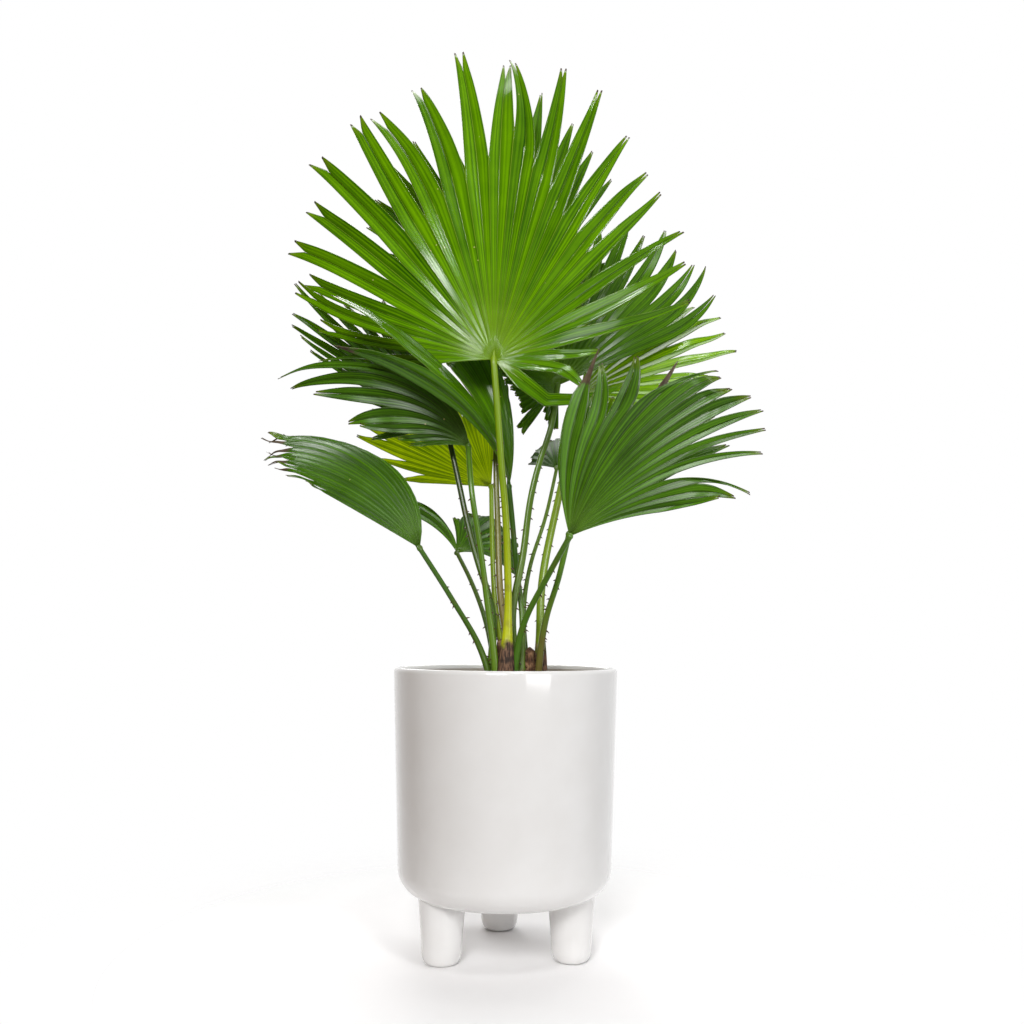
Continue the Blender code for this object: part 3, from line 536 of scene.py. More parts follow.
def leaf_skin(name, dark, light, nerve, gloss, thin, underside):
    """Waxy palm leaf: a clear gloss, parallel veins, a fine pale nerve on every fold with a band of
    painted crease shade in the darkest green next to it, and a paler base. Its underside has less
    gloss and a greyer green.

    The veins are about 1 mm apart on a real leaf and are drawn coarser, so that they show. The UV map
    weave holds the place across the fan in half segments, so that folds fall on whole numbers, and
    the share of the segment's length. The UV map state holds a tone for each half segment and how far
    it has dried. thin is the share of light that passes through the blade.
    """
    made, add = start(f"{name} palm leaf, {'underside' if underside else 'waxy upper side'}")
    place = add("TexCoord", {}, "Object")
    weave = add("UVMap", {}, uv_map="weave")
    across_fan = add("SeparateXYZ", {0: weave}, "X")
    along = add("SeparateXYZ", {0: weave}, "Y")
    state = add("UVMap", {}, uv_map="state")
    tone = add("SeparateXYZ", {0: state}, "X")
    dried = add("SeparateXYZ", {0: state}, "Y")

    turns = add("Math", {0: across_fan, 1: math.tau * VEINS}, operation="MULTIPLY")
    veins = add("Math", {0: turns}, operation="SINE")
    from_fold = add("Math", {0: across_fan, 1: 0.5}, operation="PINGPONG")
    fold = add("MapRange", {0: from_fold, 1: 0.012, 2: 0.05, 3: 1.0, 4: 0.0}, **RAMP)
    # painted shade: the green darkens in a band next to each fold, as in a shaded crease
    painted_crease_shade = add("MapRange", {0: from_fold, 1: 0.03, 2: 0.30, 3: 0.62, 4: 0.0}, **RAMP)
    drawn = add("Mapping", {"Vector": weave, "Scale": (5, 1.2, 1)})
    streaks = add("TexNoise", {"Vector": drawn, "Scale": 1.0, "Detail": 3.0})
    mottle = add("TexNoise", {"Vector": place, "Scale": 1 / 0.026, "Detail": 3.0})
    torn = add("TexNoise", {"Vector": place, "Scale": 1 / 0.004, "Detail": 5.0})
    patch = add("TexNoise", {"Vector": place, "Scale": 1 / 0.030, "Detail": 1.0})
    spots = add("TexVoronoi", {"Vector": place, "Scale": 1 / 0.012}, "Distance")

    mix = add("Math", {0: tone, 1: 0.28, 2: -0.50}, **TIMES_PLUS)
    mix = add("Math", {0: mottle, 1: 0.50, 2: mix}, **TIMES_PLUS)
    mix = add("Math", {0: veins, 1: 0.14, 2: mix}, **TIMES_PLUS)
    mix = add("Math", {0: streaks, 1: 1.40, 2: mix}, use_clamp=True, **TIMES_PLUS)
    colour = add("Mix", {0: mix, 6: dark, 7: light}, 2, **COLOURS)
    colour = add("Mix", {0: painted_crease_shade, 6: colour, 7: dark}, 2, **COLOURS)
    base = add("MapRange", {0: along, 1: 0.01, 2: 0.30, 3: 1.0, 4: 0.0}, **RAMP)
    strength = add("Math", {0: base, 1: 0.45, 2: 0.25}, **TIMES_PLUS)
    seams = add("Math", {0: fold, 1: strength}, operation="MULTIPLY")
    colour = add("Mix", {0: seams, 6: colour, 7: nerve}, 2, **COLOURS)
    pale_base = add("Math", {0: base, 1: 0.15}, operation="MULTIPLY")
    colour = add("Mix", {0: pale_base, 6: colour, 7: nerve}, 2, **COLOURS)
    if underside:
        colour = add("Mix", {0: 0.40, 6: colour, 7: "#76884A"}, 2, **COLOURS)
    spotted = add("MapRange", {0: patch, 1: 0.58, 2: 0.62}, **RAMP)
    speck = add("MapRange", {0: spots, 1: 0.045, 2: 0.075, 3: 0.75, 4: 0.0}, **RAMP)
    speck = add("Math", {0: speck, 1: spotted}, operation="MULTIPLY")
    colour = add("Mix", {0: speck, 6: colour, 7: "#C9BC7A"}, 2, **COLOURS)

    yellow = add("MapRange", {0: along, 1: 0.92, 2: 0.995, 4: 0.35}, **RAMP)
    colour = add("Mix", {0: yellow, 6: colour, 7: "#7E8420"}, 2, **COLOURS)
    end = add("Math", {0: torn, 1: 0.012, 2: along}, **TIMES_PLUS)
    end = add("MapRange", {0: end, 1: 0.994, 2: 1.0}, **RAMP)
    patchy = add("Math", {0: torn, 1: 0.8, 2: dried}, **TIMES_PLUS)
    patchy = add("MapRange", {0: patchy, 1: 0.80, 2: 1.05}, **RAMP)
    brown = add("Math", {0: end, 1: patchy}, operation="MAXIMUM")
    husk = add("Mix", {0: torn, 6: "#1A1208", 7: "#66543A"}, 2, **COLOURS)
    colour = add("Mix", {0: brown, 6: colour, 7: husk}, 2, **COLOURS)

    rough = add("Math", {0: mottle, 1: 0.10, 2: gloss - 0.05}, **TIMES_PLUS)
    rough = add("Math", {0: brown, 1: 0.4, 2: rough}, **TIMES_PLUS)
    height = add("Math", {0: veins, 1: 0.25, 2: fold}, **TIMES_PLUS)
    height = add("Math", {0: streaks, 1: 1.5, 2: height}, **TIMES_PLUS)
    relief = add("Bump", {"Height": height, "Distance": 0.06 * MM})
    skin = add("BsdfPrincipled", {
        "Base Color": colour, "Roughness": rough, "IOR": 1.40, "Normal": relief})
    glow = add("BsdfTranslucent", {"Color": colour})
    skin = add("MixShader", {0: thin, 1: skin, 2: glow})
    add("OutputMaterial", {"Surface": skin})
    return made


LEAF_COLOURS = {  # dark, light, nerve, roughness and share of light let through of each kind
    "fresh": ("#1C4800", "#689C00", "#B4CC3C", 0.14, 0.06),
    "green": ("#1F4800", "#5A8C04", "#93B23A", 0.18, 0.05),
    "deep": ("#0E2601", "#4E8002", "#769C36", 0.23, 0.03),
    "dusty": ("#122A02", "#558810", "#80A040", 0.32, 0.03),
    # painted light: a lighter copy of the fresh green, for a leaf that stands in full light
    "bright": ("#3A6A00", "#8CBE08", "#C4D850", 0.20, 0.06),
    # pale: a yellowed leaf; its light shade is raised almost to white as painted light, for the glow
    # of light shining through it
    "pale": ("#6E9200", "#F2FF34", "#F0F480", 0.32, 0.85),
}


# ------------------------------------------------------------------ mesh helpers


def unit(vector):
    """Each vector divided by its length."""
    vector = np.asarray(vector, float)
    return vector / np.linalg.norm(vector, axis=-1, keepdims=True)


def circle(steps):
    """Angles of even steps round a circle."""
    return np.arange(steps) / steps * math.tau


def travel(points):
    """Distance from the first point to each point along the line through them."""
    return np.r_[0, np.cumsum(np.linalg.norm(np.diff(points, axis=0), axis=1))]


def hermite(t, first, leave, last, arrive):
    """Cubic curve from first to last as t goes from 0 to 1, with a slope at each end."""
    return ((2 * t**3 - 3 * t**2 + 1) * first + (t**3 - 2 * t**2 + t) * leave
            + (3 * t**2 - 2 * t**3) * last + (t**3 - t**2) * arrive)


def smooth(points, rounds):
    """Evens out a line of points, its ends held, by drawing each towards its neighbours."""
    for _ in range(rounds):
        points[1:-1] = (points[:-2] + 2 * points[1:-1] + points[2:]) / 4
    return points


def grid_faces(shape, wrap=False):
    """Quads of each grid in an array of them: the last two axes are the grid, wrap joins its ends."""
    index = np.arange(math.prod(shape)).reshape(shape)
    if wrap:
        index = np.concatenate([index, index[..., :1]], axis=-1)
    corners = (index[..., :-1, :-1], index[..., :-1, 1:], index[..., 1:, 1:], index[..., 1:, :-1])
    return np.stack(corners, axis=-1).reshape(-1, 4)


def shell(points, finish=0, uv=None, wrap=True):
    """Part of a piece: grids of points with their quads, which of the finishes it has and its UVs."""
    return points, grid_faces(points.shape[:-1], wrap), finish, uv or {}


def piece(name, parts, finishes, nodes, sharp, weld=1e-6, recalc=True):
    """Mesh object at the origin from parts of (points, faces, which finish, {layer: UV per point}).

    It rides on the one body, root, wears the finishes and takes the place of the CAD nodes given.
    Edges sharper than sharp degrees stay crisp, and points closer than weld become one.
    """
    points, faces, indices, layers = [], [], [], {}
    count = 0
    for part_points, part_faces, index, uv in parts:
        part_points = part_points.reshape(-1, 3)
        points.append(part_points)
        faces.append(part_faces + count)
        indices.append(np.full(len(part_faces), index))
        for layer, values in uv.items():
            layers.setdefault(layer, []).append((count, values.reshape(-1, 2)))
        count += len(part_points)
    mesh = bpy.data.meshes.new(name)
    mesh.from_pydata(np.vstack(points).tolist(), [], np.vstack(faces).tolist())
    mesh.polygons.foreach_set("material_index", np.concatenate(indices).astype(np.int32))
    corners = np.zeros(len(mesh.loops), np.int32)
    mesh.loops.foreach_get("vertex_index", corners)
    for layer, blocks in layers.items():
        values = np.zeros((count, 2), np.float32)
        for first, block in blocks:
            values[first:first + len(block)] = block
        mesh.uv_layers.new(name=layer).data.foreach_set("uv", values[corners].ravel())
    build = bmesh.new()
    build.from_mesh(mesh)
    bmesh.ops.remove_doubles(build, verts=build.verts, dist=weld)
    bmesh.ops.dissolve_degenerate(build, edges=build.edges, dist=weld)
    if recalc:
        bmesh.ops.recalc_face_normals(build, faces=build.faces)
    build.to_mesh(mesh)
    build.free()
    mesh.shade_smooth()
    mesh.set_sharp_from_angle(angle=math.radians(sharp))
    made = bpy.data.objects.new(name, mesh)
    bpy.context.scene.collection.objects.link(made)
    for finish in finishes:
        mesh.materials.append(finish)
    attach(made, "root")
    if nodes:
        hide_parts(*nodes)
    return made


def tube(path, radius, sides, reference, section=None):
    """Rings of points round a path, shape (..., ring, side, 3), closed by a point at each end.

    Each ring lies square to the path: centre + radius * section(turn) * (cos(turn) * out + sin(turn)
    * over), where over is the part of reference square to the path.
    """
    ahead = unit(np.gradient(path, axis=-2))
    reference = np.broadcast_to(np.asarray(reference, float), ahead.shape)
    over = unit(reference - (reference * ahead).sum(-1, keepdims=True) * ahead)
    out = np.cross(ahead, over)
    turn = circle(sides)
    spread = np.ones(sides) if section is None else section(turn)
    reach = np.asarray(radius, float)[..., :, None] * spread
    rings = path[..., None, :] + reach[..., None] * (
        np.cos(turn)[:, None] * out[..., None, :] + np.sin(turn)[:, None] * over[..., None, :])
    first = np.repeat(path[..., :1, None, :], sides, axis=-2)
    last = np.repeat(path[..., -1:, None, :], sides, axis=-2)
    return np.concatenate([first, rings, last], axis=-3)


def smooth_path(knots, count):
    """Cubic curve through knots, its slope at each knot set by its neighbours."""
    knots = np.asarray(knots, float)
    travelled = travel(knots)
    slopes = np.gradient(knots, travelled, axis=0)
    fine = np.linspace(0, travelled[-1], count)
    index = np.clip(np.searchsorted(travelled, fine, side="right") - 1, 0, len(knots) - 2)
    span = (travelled[index + 1] - travelled[index])[:, None]
    t = (fine - travelled[index])[:, None] / span
    return hermite(t, knots[index], span * slopes[index], knots[index + 1], span * slopes[index + 1])


# ------------------------------------------------------------------ pot, soil and stems


def turned(profile, steps):
    """Points of a profile of (radius, height) carried round the Z axis, shape (place, step, 3)."""
    profile = np.asarray(profile, float)
    turn = circle(steps)
    return np.stack([profile[:, :1] * np.cos(turn), profile[:, :1] * np.sin(turn),
                     np.repeat(profile[:, 1:], steps, axis=1)], axis=-1)


def arc(centre, width, height, first, last, count):
    """Points on an elliptic arc between two angles in degrees."""
    turns = np.radians(np.linspace(first, last, count))
    return np.stack([centre[0] + width * np.cos(turns), centre[1] + height * np.sin(turns)], axis=1)


def wall_rows(low, high):
    """32 points between the two ends of a straight wall, without its ends."""
    low, high = np.array([low]), np.array([high])
    return low + (high - low) * np.linspace(0, 1, 34)[1:-1, None]


def underside_height(radius):
    """Height of the pot's outside at a radius: flat, then up round the elliptic bottom corner."""
    over = np.clip((radius - (BODY_RADIUS - CORNER_WIDTH)) / CORNER_WIDTH, 0, 0.999)
    return UNDERSIDE_Z + CORNER_HEIGHT * (1 - np.sqrt(1 - over**2))


def foot_profile(count=26):
    """Radius and height up a foot: the knots of its profile, evened out above its flat underside."""
    knots = np.array(FOOT_PROFILE)
    travelled = travel(knots)
    fine = np.r_[0, np.linspace(travelled[1] * 0.9, travelled[-1], count)]
    curve = np.stack([np.interp(fine, travelled, knots[:, k]) for k in (0, 1)], axis=1)
    curve[1:] = smooth(curve[1:], 4)
    return curve


def foot_points(bearing, steps=72):
    """One foot: its turned profile, then a flare that meets the pot's underside.

    Round the foot the wall rises from the last profile height to the underside above it, then bends
    out through a quarter circle of the fillet's radius, ending just inside the pot.
    """
    turn = circle(steps)
    outward = np.stack([np.cos(turn), np.sin(turn)], axis=-1)
    centre = FOOT_CIRCLE * np.array([math.cos(bearing), math.sin(bearing)])

    def ceiling(radius):
        """Height of the underside above each bearing round the foot."""
        return underside_height(np.linalg.norm(centre + radius * outward, axis=1))

    last_radius, last_height = FOOT_PROFILE[-1]
    wall = last_radius + (ceiling(FOOT_NECK) - last_height) * FOOT_SPREAD
    top = ceiling((wall + FOOT_FILLET)[:, None])
    rows = [np.broadcast_to(knot, (steps, 2)) for knot in foot_profile()]
    for share in np.linspace(0, 1, 9)[1:]:
        bend = share * math.pi / 2
        rows.append(np.stack([wall + FOOT_FILLET * (1 - math.cos(bend)),
                              top - FOOT_FILLET * (1 - math.sin(bend)) + 0.0002 * share], axis=-1))
    rows.append(np.stack([wall * 0.6, np.minimum(top, UNDERSIDE_Z) + FOOT_OVERLAP], axis=-1))
    rows.append(np.stack([wall * 0, np.full(steps, UNDERSIDE_Z + FOOT_OVERLAP)], axis=-1))
    rows = np.stack(rows)
    return np.concatenate([centre + rows[..., :1] * outward, rows[..., 1:]], axis=-1)


def build_pot(outer, inner):
    """Ceramic pot: a turned body with three flared feet, its inside given a darker glaze colour as
    painted shade.

    Its profile is straight walls joined by elliptic arcs at the bottom corner, the lip and the inner
    corner.
    """
    lip = RIM_WALL / 2
    lip_z = POT_HEIGHT - LIP_HEIGHT
    corner_z = UNDERSIDE_Z + CORNER_HEIGHT
    inner_radius = BODY_RADIUS - BODY_WALL
    inner_floor = UNDERSIDE_Z + FLOOR_THICKNESS
    inner_corner_z = inner_floor + INNER_CORNER_HEIGHT
    outside = np.vstack([
        [(0, UNDERSIDE_Z), (0.03, UNDERSIDE_Z)],
        arc((BODY_RADIUS - CORNER_WIDTH, corner_z), CORNER_WIDTH, CORNER_HEIGHT, -90, 0, 22),
        wall_rows((BODY_RADIUS, corner_z), (RIM_RADIUS, lip_z)),
        arc((RIM_RADIUS - lip, lip_z), lip, LIP_HEIGHT, 0, 180, 17),
    ])
    inside = np.vstack([
        wall_rows((RIM_RADIUS - RIM_WALL, lip_z), (inner_radius, inner_corner_z)),
        arc((inner_radius - CORNER_WIDTH, inner_corner_z), CORNER_WIDTH, INNER_CORNER_HEIGHT,
            0, -90, 12),
        [(0, inner_floor)],
    ])
    steps = 192
    profile = np.vstack([outside, inside])
    # painted shade: the faces inside the mouth take the second, darker finish
    painted_shade_inside = np.repeat(np.arange(len(profile) - 1) >= len(outside) - 1, steps)
    feet = [shell(foot_points(math.radians(bearing))) for bearing in FOOT_ANGLES]
    parts = [shell(turned(profile, steps), painted_shade_inside), *feet]
    return piece("footed_ceramic_pot", parts, [outer, inner], ["ceramic_pot"], 50)


def ripples(x, y, scale, seed):
    """Uneven ground: six crossing sine waves whose bearings and phases follow from the seed."""
    k = np.arange(6)
    bearing = 2.4 * k + seed
    wave = scale * (1 + 0.37 * k)
    x, y = np.asarray(x)[..., None], np.asarray(y)[..., None]
    waves = np.sin(wave * (x * np.cos(bearing) + y * np.sin(bearing)) + 1.7 * k * seed)
    return (waves / (1 + 0.5 * k)).sum(-1)


def soil_height(x, y):
    """Height of the compost: it drops by 3 mm towards its edge and mounds up round the stems."""
    drop = 0.003 * np.clip((np.hypot(x, y) - 0.045) / 0.035, 0, 1) ** 2
    mound = 0.0022 * np.exp(-((x - 0.006) ** 2 + (y + 0.004) ** 2) / 0.022**2)
    return SOIL_Z - 0.0004 - drop + mound


def build_soil(finish):
    """Compost: the bed's top and side, its top ruffled by a millimetre or two."""
    steps = 200
    turn = circle(steps)
    radii = np.r_[0, np.linspace(0.002, SOIL_EDGE, 70)]
    x, y = radii[:, None] * np.cos(turn), radii[:, None] * np.sin(turn)
    rough = 0.0007 * ripples(x, y, 420, 1.3) + 0.0004 * ripples(x, y, 1300, 2.1)
    fade = np.clip((SOIL_RADIUS - radii) / 0.006, 0, 1) * np.clip(radii / 0.003, 0, 1)
    top = np.stack([x, y, soil_height(x, y) + rough * fade[:, None]], axis=-1)
    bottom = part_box("soil")[0].z + 0.0002
    side = turned([(SOIL_EDGE - 0.0008, SOIL_Z - 0.006), (SOIL_FOOT_RADIUS, bottom + 0.0028),
                   (SOIL_FOOT_RADIUS - 0.0045, bottom), (0, bottom)], steps)
    bed = shell(np.concatenate([top, side]))
    return piece("compost_bed", [bed], [finish], ["soil"], 60)


def tumbled(points, angles):
    """Sets of points, each set turned about X, then Y, then Z by its own three angles."""
    for axis in range(3):
        c, s = np.cos(angles[:, axis])[:, None], np.sin(angles[:, axis])[:, None]
        a, b = (axis + 1) % 3, (axis + 2) % 3
        first, second = points[..., a].copy(), points[..., b].copy()
        points[..., a] = c * first - s * second
        points[..., b] = s * first + c * second
    return points


def build_chips(finish):
    """Bark chips on the soil: boxes of 3 x 3 x 2 points squeezed to flakes, each turned at random."""
    count = 520
    rng = np.random.default_rng(7)
    grid = np.meshgrid([-1, 0, 1], [-1, 0, 1], [-1, 1], indexing="ij")
    grid = np.stack(grid, axis=-1).reshape(-1, 3)
    box = grid * np.array([1, 1, 0.35])
    box = box / np.maximum(1, 0.78 * np.linalg.norm(box[:, :2], axis=1, keepdims=True))
    size = rng.uniform(0.7, 2.6, (count, 1, 1)) * MM
    narrow, thin = rng.uniform(0.4, 0.9, count), rng.uniform(0.4, 0.9, count)
    size = size * np.stack([np.ones(count), narrow, thin], axis=1)[:, None]
    flakes = (box + rng.normal(0, 0.14, (count, len(box), 3))) * size
    tilt = rng.normal(0, 0.45, (count, 3))
    tilt[:, 2] = rng.uniform(0, math.tau, count)
    flakes = tumbled(flakes, tilt)
    distance = 0.075 * np.sqrt(rng.uniform(0.0, 1, count))
    bearing = rng.uniform(0, math.tau, count)
    x, y = distance * np.cos(bearing), distance * np.sin(bearing)
    flakes += np.stack([x, y, soil_height(x, y) + 0.0006], axis=1)[:, None]
    quads = box_quads(grid)
    faces = (quads[None] + np.arange(count)[:, None, None] * len(grid)).reshape(-1, 4)
    return piece("bark_chips", [(flakes, faces, 0, {})], [finish], (), 30)


def box_quads(grid):
    """Quads of the surface of the 3 x 3 x 2 grid of points."""
    order = {tuple(point): index for index, point in enumerate(grid)}
    loops = []
    for z in (-1, 1):
        for x in (-1, 0):
            for y in (-1, 0):
                loops.append([(x, y, z), (x + 1, y, z), (x + 1, y + 1, z), (x, y + 1, z)])
    for side in (-1, 1):
        for t in (-1, 0):
            loops.append([(side, t, -1), (side, t + 1, -1), (side, t + 1, 1), (side, t, 1)])
            loops.append([(t, side, -1), (t + 1, side, -1), (t + 1, side, 1), (t, side, 1)])
    return np.array([[order[corner] for corner in loop] for loop in loops])


def stem_rings(name, steps=72):
    """Rings of points up a stem, closed at both ends, with a step wherever an old sheath ends.

    Radius = taper + steps with wavy edges + ridges (sines of the bearing that turn with height), and
    it closes in over the last 7 % of the height.
    """
    (x, y), foot, top, top_z = STEMS[name]
    heights = np.linspace(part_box(f"stem_{name}")[0].z, top_z - 0.0012, 60)
    share = (heights - heights[0]) / (heights[-1] - heights[0])
    turn = circle(steps)
    taper = foot + (top - foot) * share + 0.0012 * np.exp(-((share / 0.8) ** 4))
    sheaths = 0.00045 * ((share * 5 + 0.35 * np.sin(turn * 2)[:, None]) % 1.0).T
    ridges = 0.00035 * np.sin(turn * 7 + 2.0 * np.sin(share * 9)[:, None])
    closing = 1 - 0.75 * np.clip((share - 0.93) / 0.07, 0, 1)
    radius = (taper[:, None] + sheaths + ridges) * closing[:, None]
    rings = np.stack([x + radius * np.cos(turn), y + radius * np.sin(turn),
                      np.broadcast_to(heights[:, None], radius.shape)], axis=-1)
    first = np.broadcast_to((x, y, heights[0]), (1, steps, 3))
    last = np.broadcast_to((x, y, heights[-1] + 0.0004), (1, steps, 3))
    return np.concatenate([first, rings, last])


def loose_hairs(name, low, high):
    """Tubes of the hairs that have come loose round a stem between two heights.

    Each climbs along the stem, leans out by up to 4 mm and curls round it, and the ones that lean
    furthest hang down at the end.
    """
    (x, y), foot = STEMS[name][:2]
    seed, count = HAIRS[name]
    rng = np.random.default_rng(seed)
    bearing = rng.uniform(0, math.tau, count)[:, None]
    climb = np.linspace(0, 1, 7)
    start_z = rng.uniform(low + 0.001, high - 0.008, count)[:, None]
    length = rng.uniform(0.006, 0.018, count)[:, None]
    lean = rng.uniform(-0.2, 0.9, count)[:, None]
    curl = rng.normal(0, 1.0, count)[:, None]
    out = foot - 0.0004 + 0.004 * lean * climb**1.6
    around = bearing + curl * climb * 0.5
    sag = length * climb * np.where(lean > 0.6, 0.45 - 0.5 * climb, 0.9)
    path = np.stack([x + out * np.cos(around), y + out * np.sin(around), start_z + sag], axis=-1)
    path[..., 2] = np.maximum(path[..., 2], SOIL_Z + 0.0005)
    return tube(path, (0.00022 * (1 - 0.7 * climb))[None], 5, (0.3, 0.5, 0.8))


def build_stem(name, fibre, hair):
    """Fibrous stem with loose hairs round it."""
    rings = stem_rings(name)
    hairs = loose_hairs(name, rings[0, 0, 2], rings[-2, 0, 2])
    parts = [shell(rings), shell(hairs, 1)]
    return piece(f"fibrous_stem_{name}", parts, [fibre, hair], [f"stem_{name}"], 60)


# ------------------------------------------------------------------ leaves


def across(stations, place):
    """Smooth curve through five values spread from place -1 to place 1."""
    values = np.asarray(stations, float)
    scaled = (np.clip(place, -1, 1) + 1) * 2
    index = np.clip(np.floor(scaled).astype(int), 0, 3)
    t = scaled - index
    padded = np.r_[2 * values[0] - values[1], values, 2 * values[-1] - values[-2]]
    before, first, last, after = (padded[index + k] for k in range(4))
    return hermite(t, first, (last - before) / 2, last, (after - first) / 2)


def wobble(count, phase, size):
    """Small uneven steps, so that no two segments are quite alike."""
    k = np.arange(count)
    return size * np.sin(2.4 * k + 1.3 * k * k + phase * 7)


def dryness(along, starts):
    """How far a segment has dried at a share of its length: 0 to 1 round the place it starts at."""
    return np.clip((along - starts) / DRY_FADE + 0.5, 0, 1)


def per_segment(values):
    """One value for each segment, on the first axis of a grid of (segment, half, row, column)."""
    return np.asarray(values)[:, None, None, None]


class Fan:
    """The curved surface that a fan blade lies in, and the outline of its segments.

    ahead, side and up are its axes at the hastula. edges are the bearings half way between ribs, and
    split_radii the radii at which neighbours part on them. stations are the lengths at five places
    across the fan, so that neighbours bend alike however long they are.
    """

    def __init__(self, leaf):
        self.leaf = leaf
        self.start = np.array(leaf.hastula) * MM
        self.ahead = unit(leaf.aim)
        face = np.asarray(leaf.face, float)
        self.up = unit(face - face.dot(self.ahead) * self.ahead)
        self.side = np.cross(self.ahead, self.up)
        self.ribs = np.radians(leaf.ribs)
        between = (self.ribs[1:] + self.ribs[:-1]) / 2
        self.edges = np.r_[2 * self.ribs[0] - between[0], between, 2 * self.ribs[-1] - between[-1]]
        bearings, lengths = zip(*leaf.reach)
        self.lengths = np.interp(leaf.ribs, bearings, lengths) * MM
        count = len(self.ribs)
        if leaf.tips:
            self.tips = np.radians(leaf.tips)
        else:
            self.lengths *= 1 + wobble(count, leaf.phase, 0.03)
            self.tips = self.ribs + wobble(count, leaf.phase + 1, 0.02)
        self.curl = wobble(count, leaf.phase + 2, 0.04)
        self.stations = np.interp(np.linspace(-1, 1, 5), self.place(self.ribs), self.lengths)
        if len(leaf.splits) == 5:
            shares = across(leaf.splits, self.place(self.edges))
            shares = shares + wobble(count + 1, leaf.phase + 3, 0.04)
        else:
            shares = np.array(leaf.splits)
        shorter = np.minimum(self.lengths[1:], self.lengths[:-1])
        self.split_radii = shares * np.r_[self.lengths[0], shorter, self.lengths[-1]]

    def place(self, bearing):
        """Where a bearing lies across the fan, from -1 to 1."""
        middle = (self.edges[0] + self.edges[-1]) / 2
        return (bearing - middle) / (self.edges[-1] - middle)

    def points(self, bearing, radius, samples=14):
        """Points at distance radius along curves that leave the hastula at a bearing.

        Each curve's direction starts at rise out of the plane, and turns by sweep * u**power within
        it and by droop * u**1.4 out of it, with u the share of the curve's full reach. The point is
        the sum of small steps in that direction.
        """
        bearing, radius = np.broadcast_arrays(bearing, radius)
        place = self.place(bearing)
        reach = across(self.stations, place)
        rise = np.radians(across(self.leaf.rise, place))
        droop = np.radians(across(self.leaf.droop, place))
        sweep = np.radians(across(self.leaf.sweep, place))
        total = np.zeros((3, *bearing.shape))
        for step in (np.arange(samples) + 0.5) / samples:
            share = radius * step / reach
            lift = rise - droop * share**1.4
            heading = bearing + sweep * share**self.leaf.sweep_power
            total += (np.cos(lift) * np.cos(heading), np.cos(lift) * np.sin(heading), np.sin(lift))
        ahead, aside, above = (total * radius / samples)[..., None]
        return self.start + ahead * self.ahead + aside * self.side + above * self.up

    def normals(self, bearing, radius):
        """Unit vectors square to the surface, on the side of the face."""
        step = 1e-4
        radius = np.maximum(radius, 1e-3)
        outward = self.points(bearing, radius + step) - self.points(bearing, radius - step)
        aside = step / radius
        sideways = self.points(bearing + aside, radius) - self.points(bearing - aside, radius)
        return unit(np.cross(sideways, outward))

    def fused_rows(self, split, turn):
        """Radius, bearing and lift of the rows from the hastula out to where the segments part.

        A row runs from the rib to the shared edge at one share of the way to the split. turn is the
        bearing from the rib to the edge. Ribs lie below the fan's surface and edges above it.
        """
        share = (np.linspace(0, 1, FUSED_ROWS) ** 0.9)[:, None]
        rib_radius = BLADE_START + (split.mean(axis=1, keepdims=True) - BLADE_START) * share
        edge_radius = BLADE_START + (split - BLADE_START) * share
        radius = rib_radius + (edge_radius - rib_radius) * COLUMN
        bearing = per_segment(self.ribs) + turn * COLUMN
        deep = np.abs(turn).mean(axis=1, keepdims=True) * rib_radius
        high = np.abs(turn) * edge_radius
        lift = self.leaf.pleat / 2 * (high * COLUMN - deep * (1 - COLUMN))
        return np.broadcast_arrays(radius, bearing, lift * np.minimum(1, radius / PLEAT_START))

    def free_rows(self, split, turn, length, starts):
        """Radius, bearing and lift of the rows from the split out to the tip.

        A row is centred on a bearing that bends from the rib's to the tip's as share**1.5, and its
        half width shrinks to the fork's as 1 - share**taper. Past the notch the inner side of each
        half moves out too, so the tip ends in two points. Where a segment has dried, from starts on,
        it has shrunk to less than half its width. The folds flatten and each segment curls and waves
        a little towards its tip.
        """
        leaf, count = self.leaf, len(self.ribs)
        share = (np.linspace(0, 1, FREE_ROWS + 1)[1:] ** 0.92)[:, None]
        rib_split = split.mean(axis=1, keepdims=True)
        rib_radius = rib_split + (length - rib_split) * share
        edge_radius = split + (length - split) * share
        radius = rib_radius + (edge_radius - rib_radius) * COLUMN

        at_split = np.abs(turn) * split
        fork = per_segment(across(leaf.fork, self.place(self.ribs)) * MM)
        fork = fork * np.minimum(1, at_split / fork * 0.9)
        width = fork + (at_split - fork) * (1 - share**leaf.taper)
        width = width * (1 - DRY_SHRINK * dryness(rib_radius / length, starts))
        cleft = across(leaf.notch, self.place(self.ribs)) * MM
        cleft = per_segment(cleft * (1 + wobble(count, leaf.phase + 5, 0.25)))
        opened = np.clip(1 - (length - rib_radius) / cleft, 0, 1)
        inner = opened * np.maximum(fork - PRONG, 0.25 * fork)
        aside = inner + (width - inner) * COLUMN
        bend = np.broadcast_to(share**1.5, (count, 1, FREE_ROWS, 1)).copy()
        for segment, kink in leaf.kinks:
            bend[segment] = np.clip((share - kink) / (1 - kink), 0, 1) ** 0.8
        rib, tip = per_segment(self.ribs), per_segment(self.tips)
        bearing = rib + (tip - rib) * bend + np.sign(turn) * aside / edge_radius

        deep = width.mean(axis=1, keepdims=True)
        lift = leaf.pleat / 2 * (width * COLUMN - deep * (1 - COLUMN))
        lift = lift * np.minimum(1, radius / PLEAT_START) * (1 + 0.5 * share - 1.1 * share**3)
        curl = per_segment(self.curl) * length * share**2
        wave = 0.0011 * np.sin(share * 9 + 2.1 * per_segment(np.arange(count))) * share
        return radius, bearing, lift + curl + wave

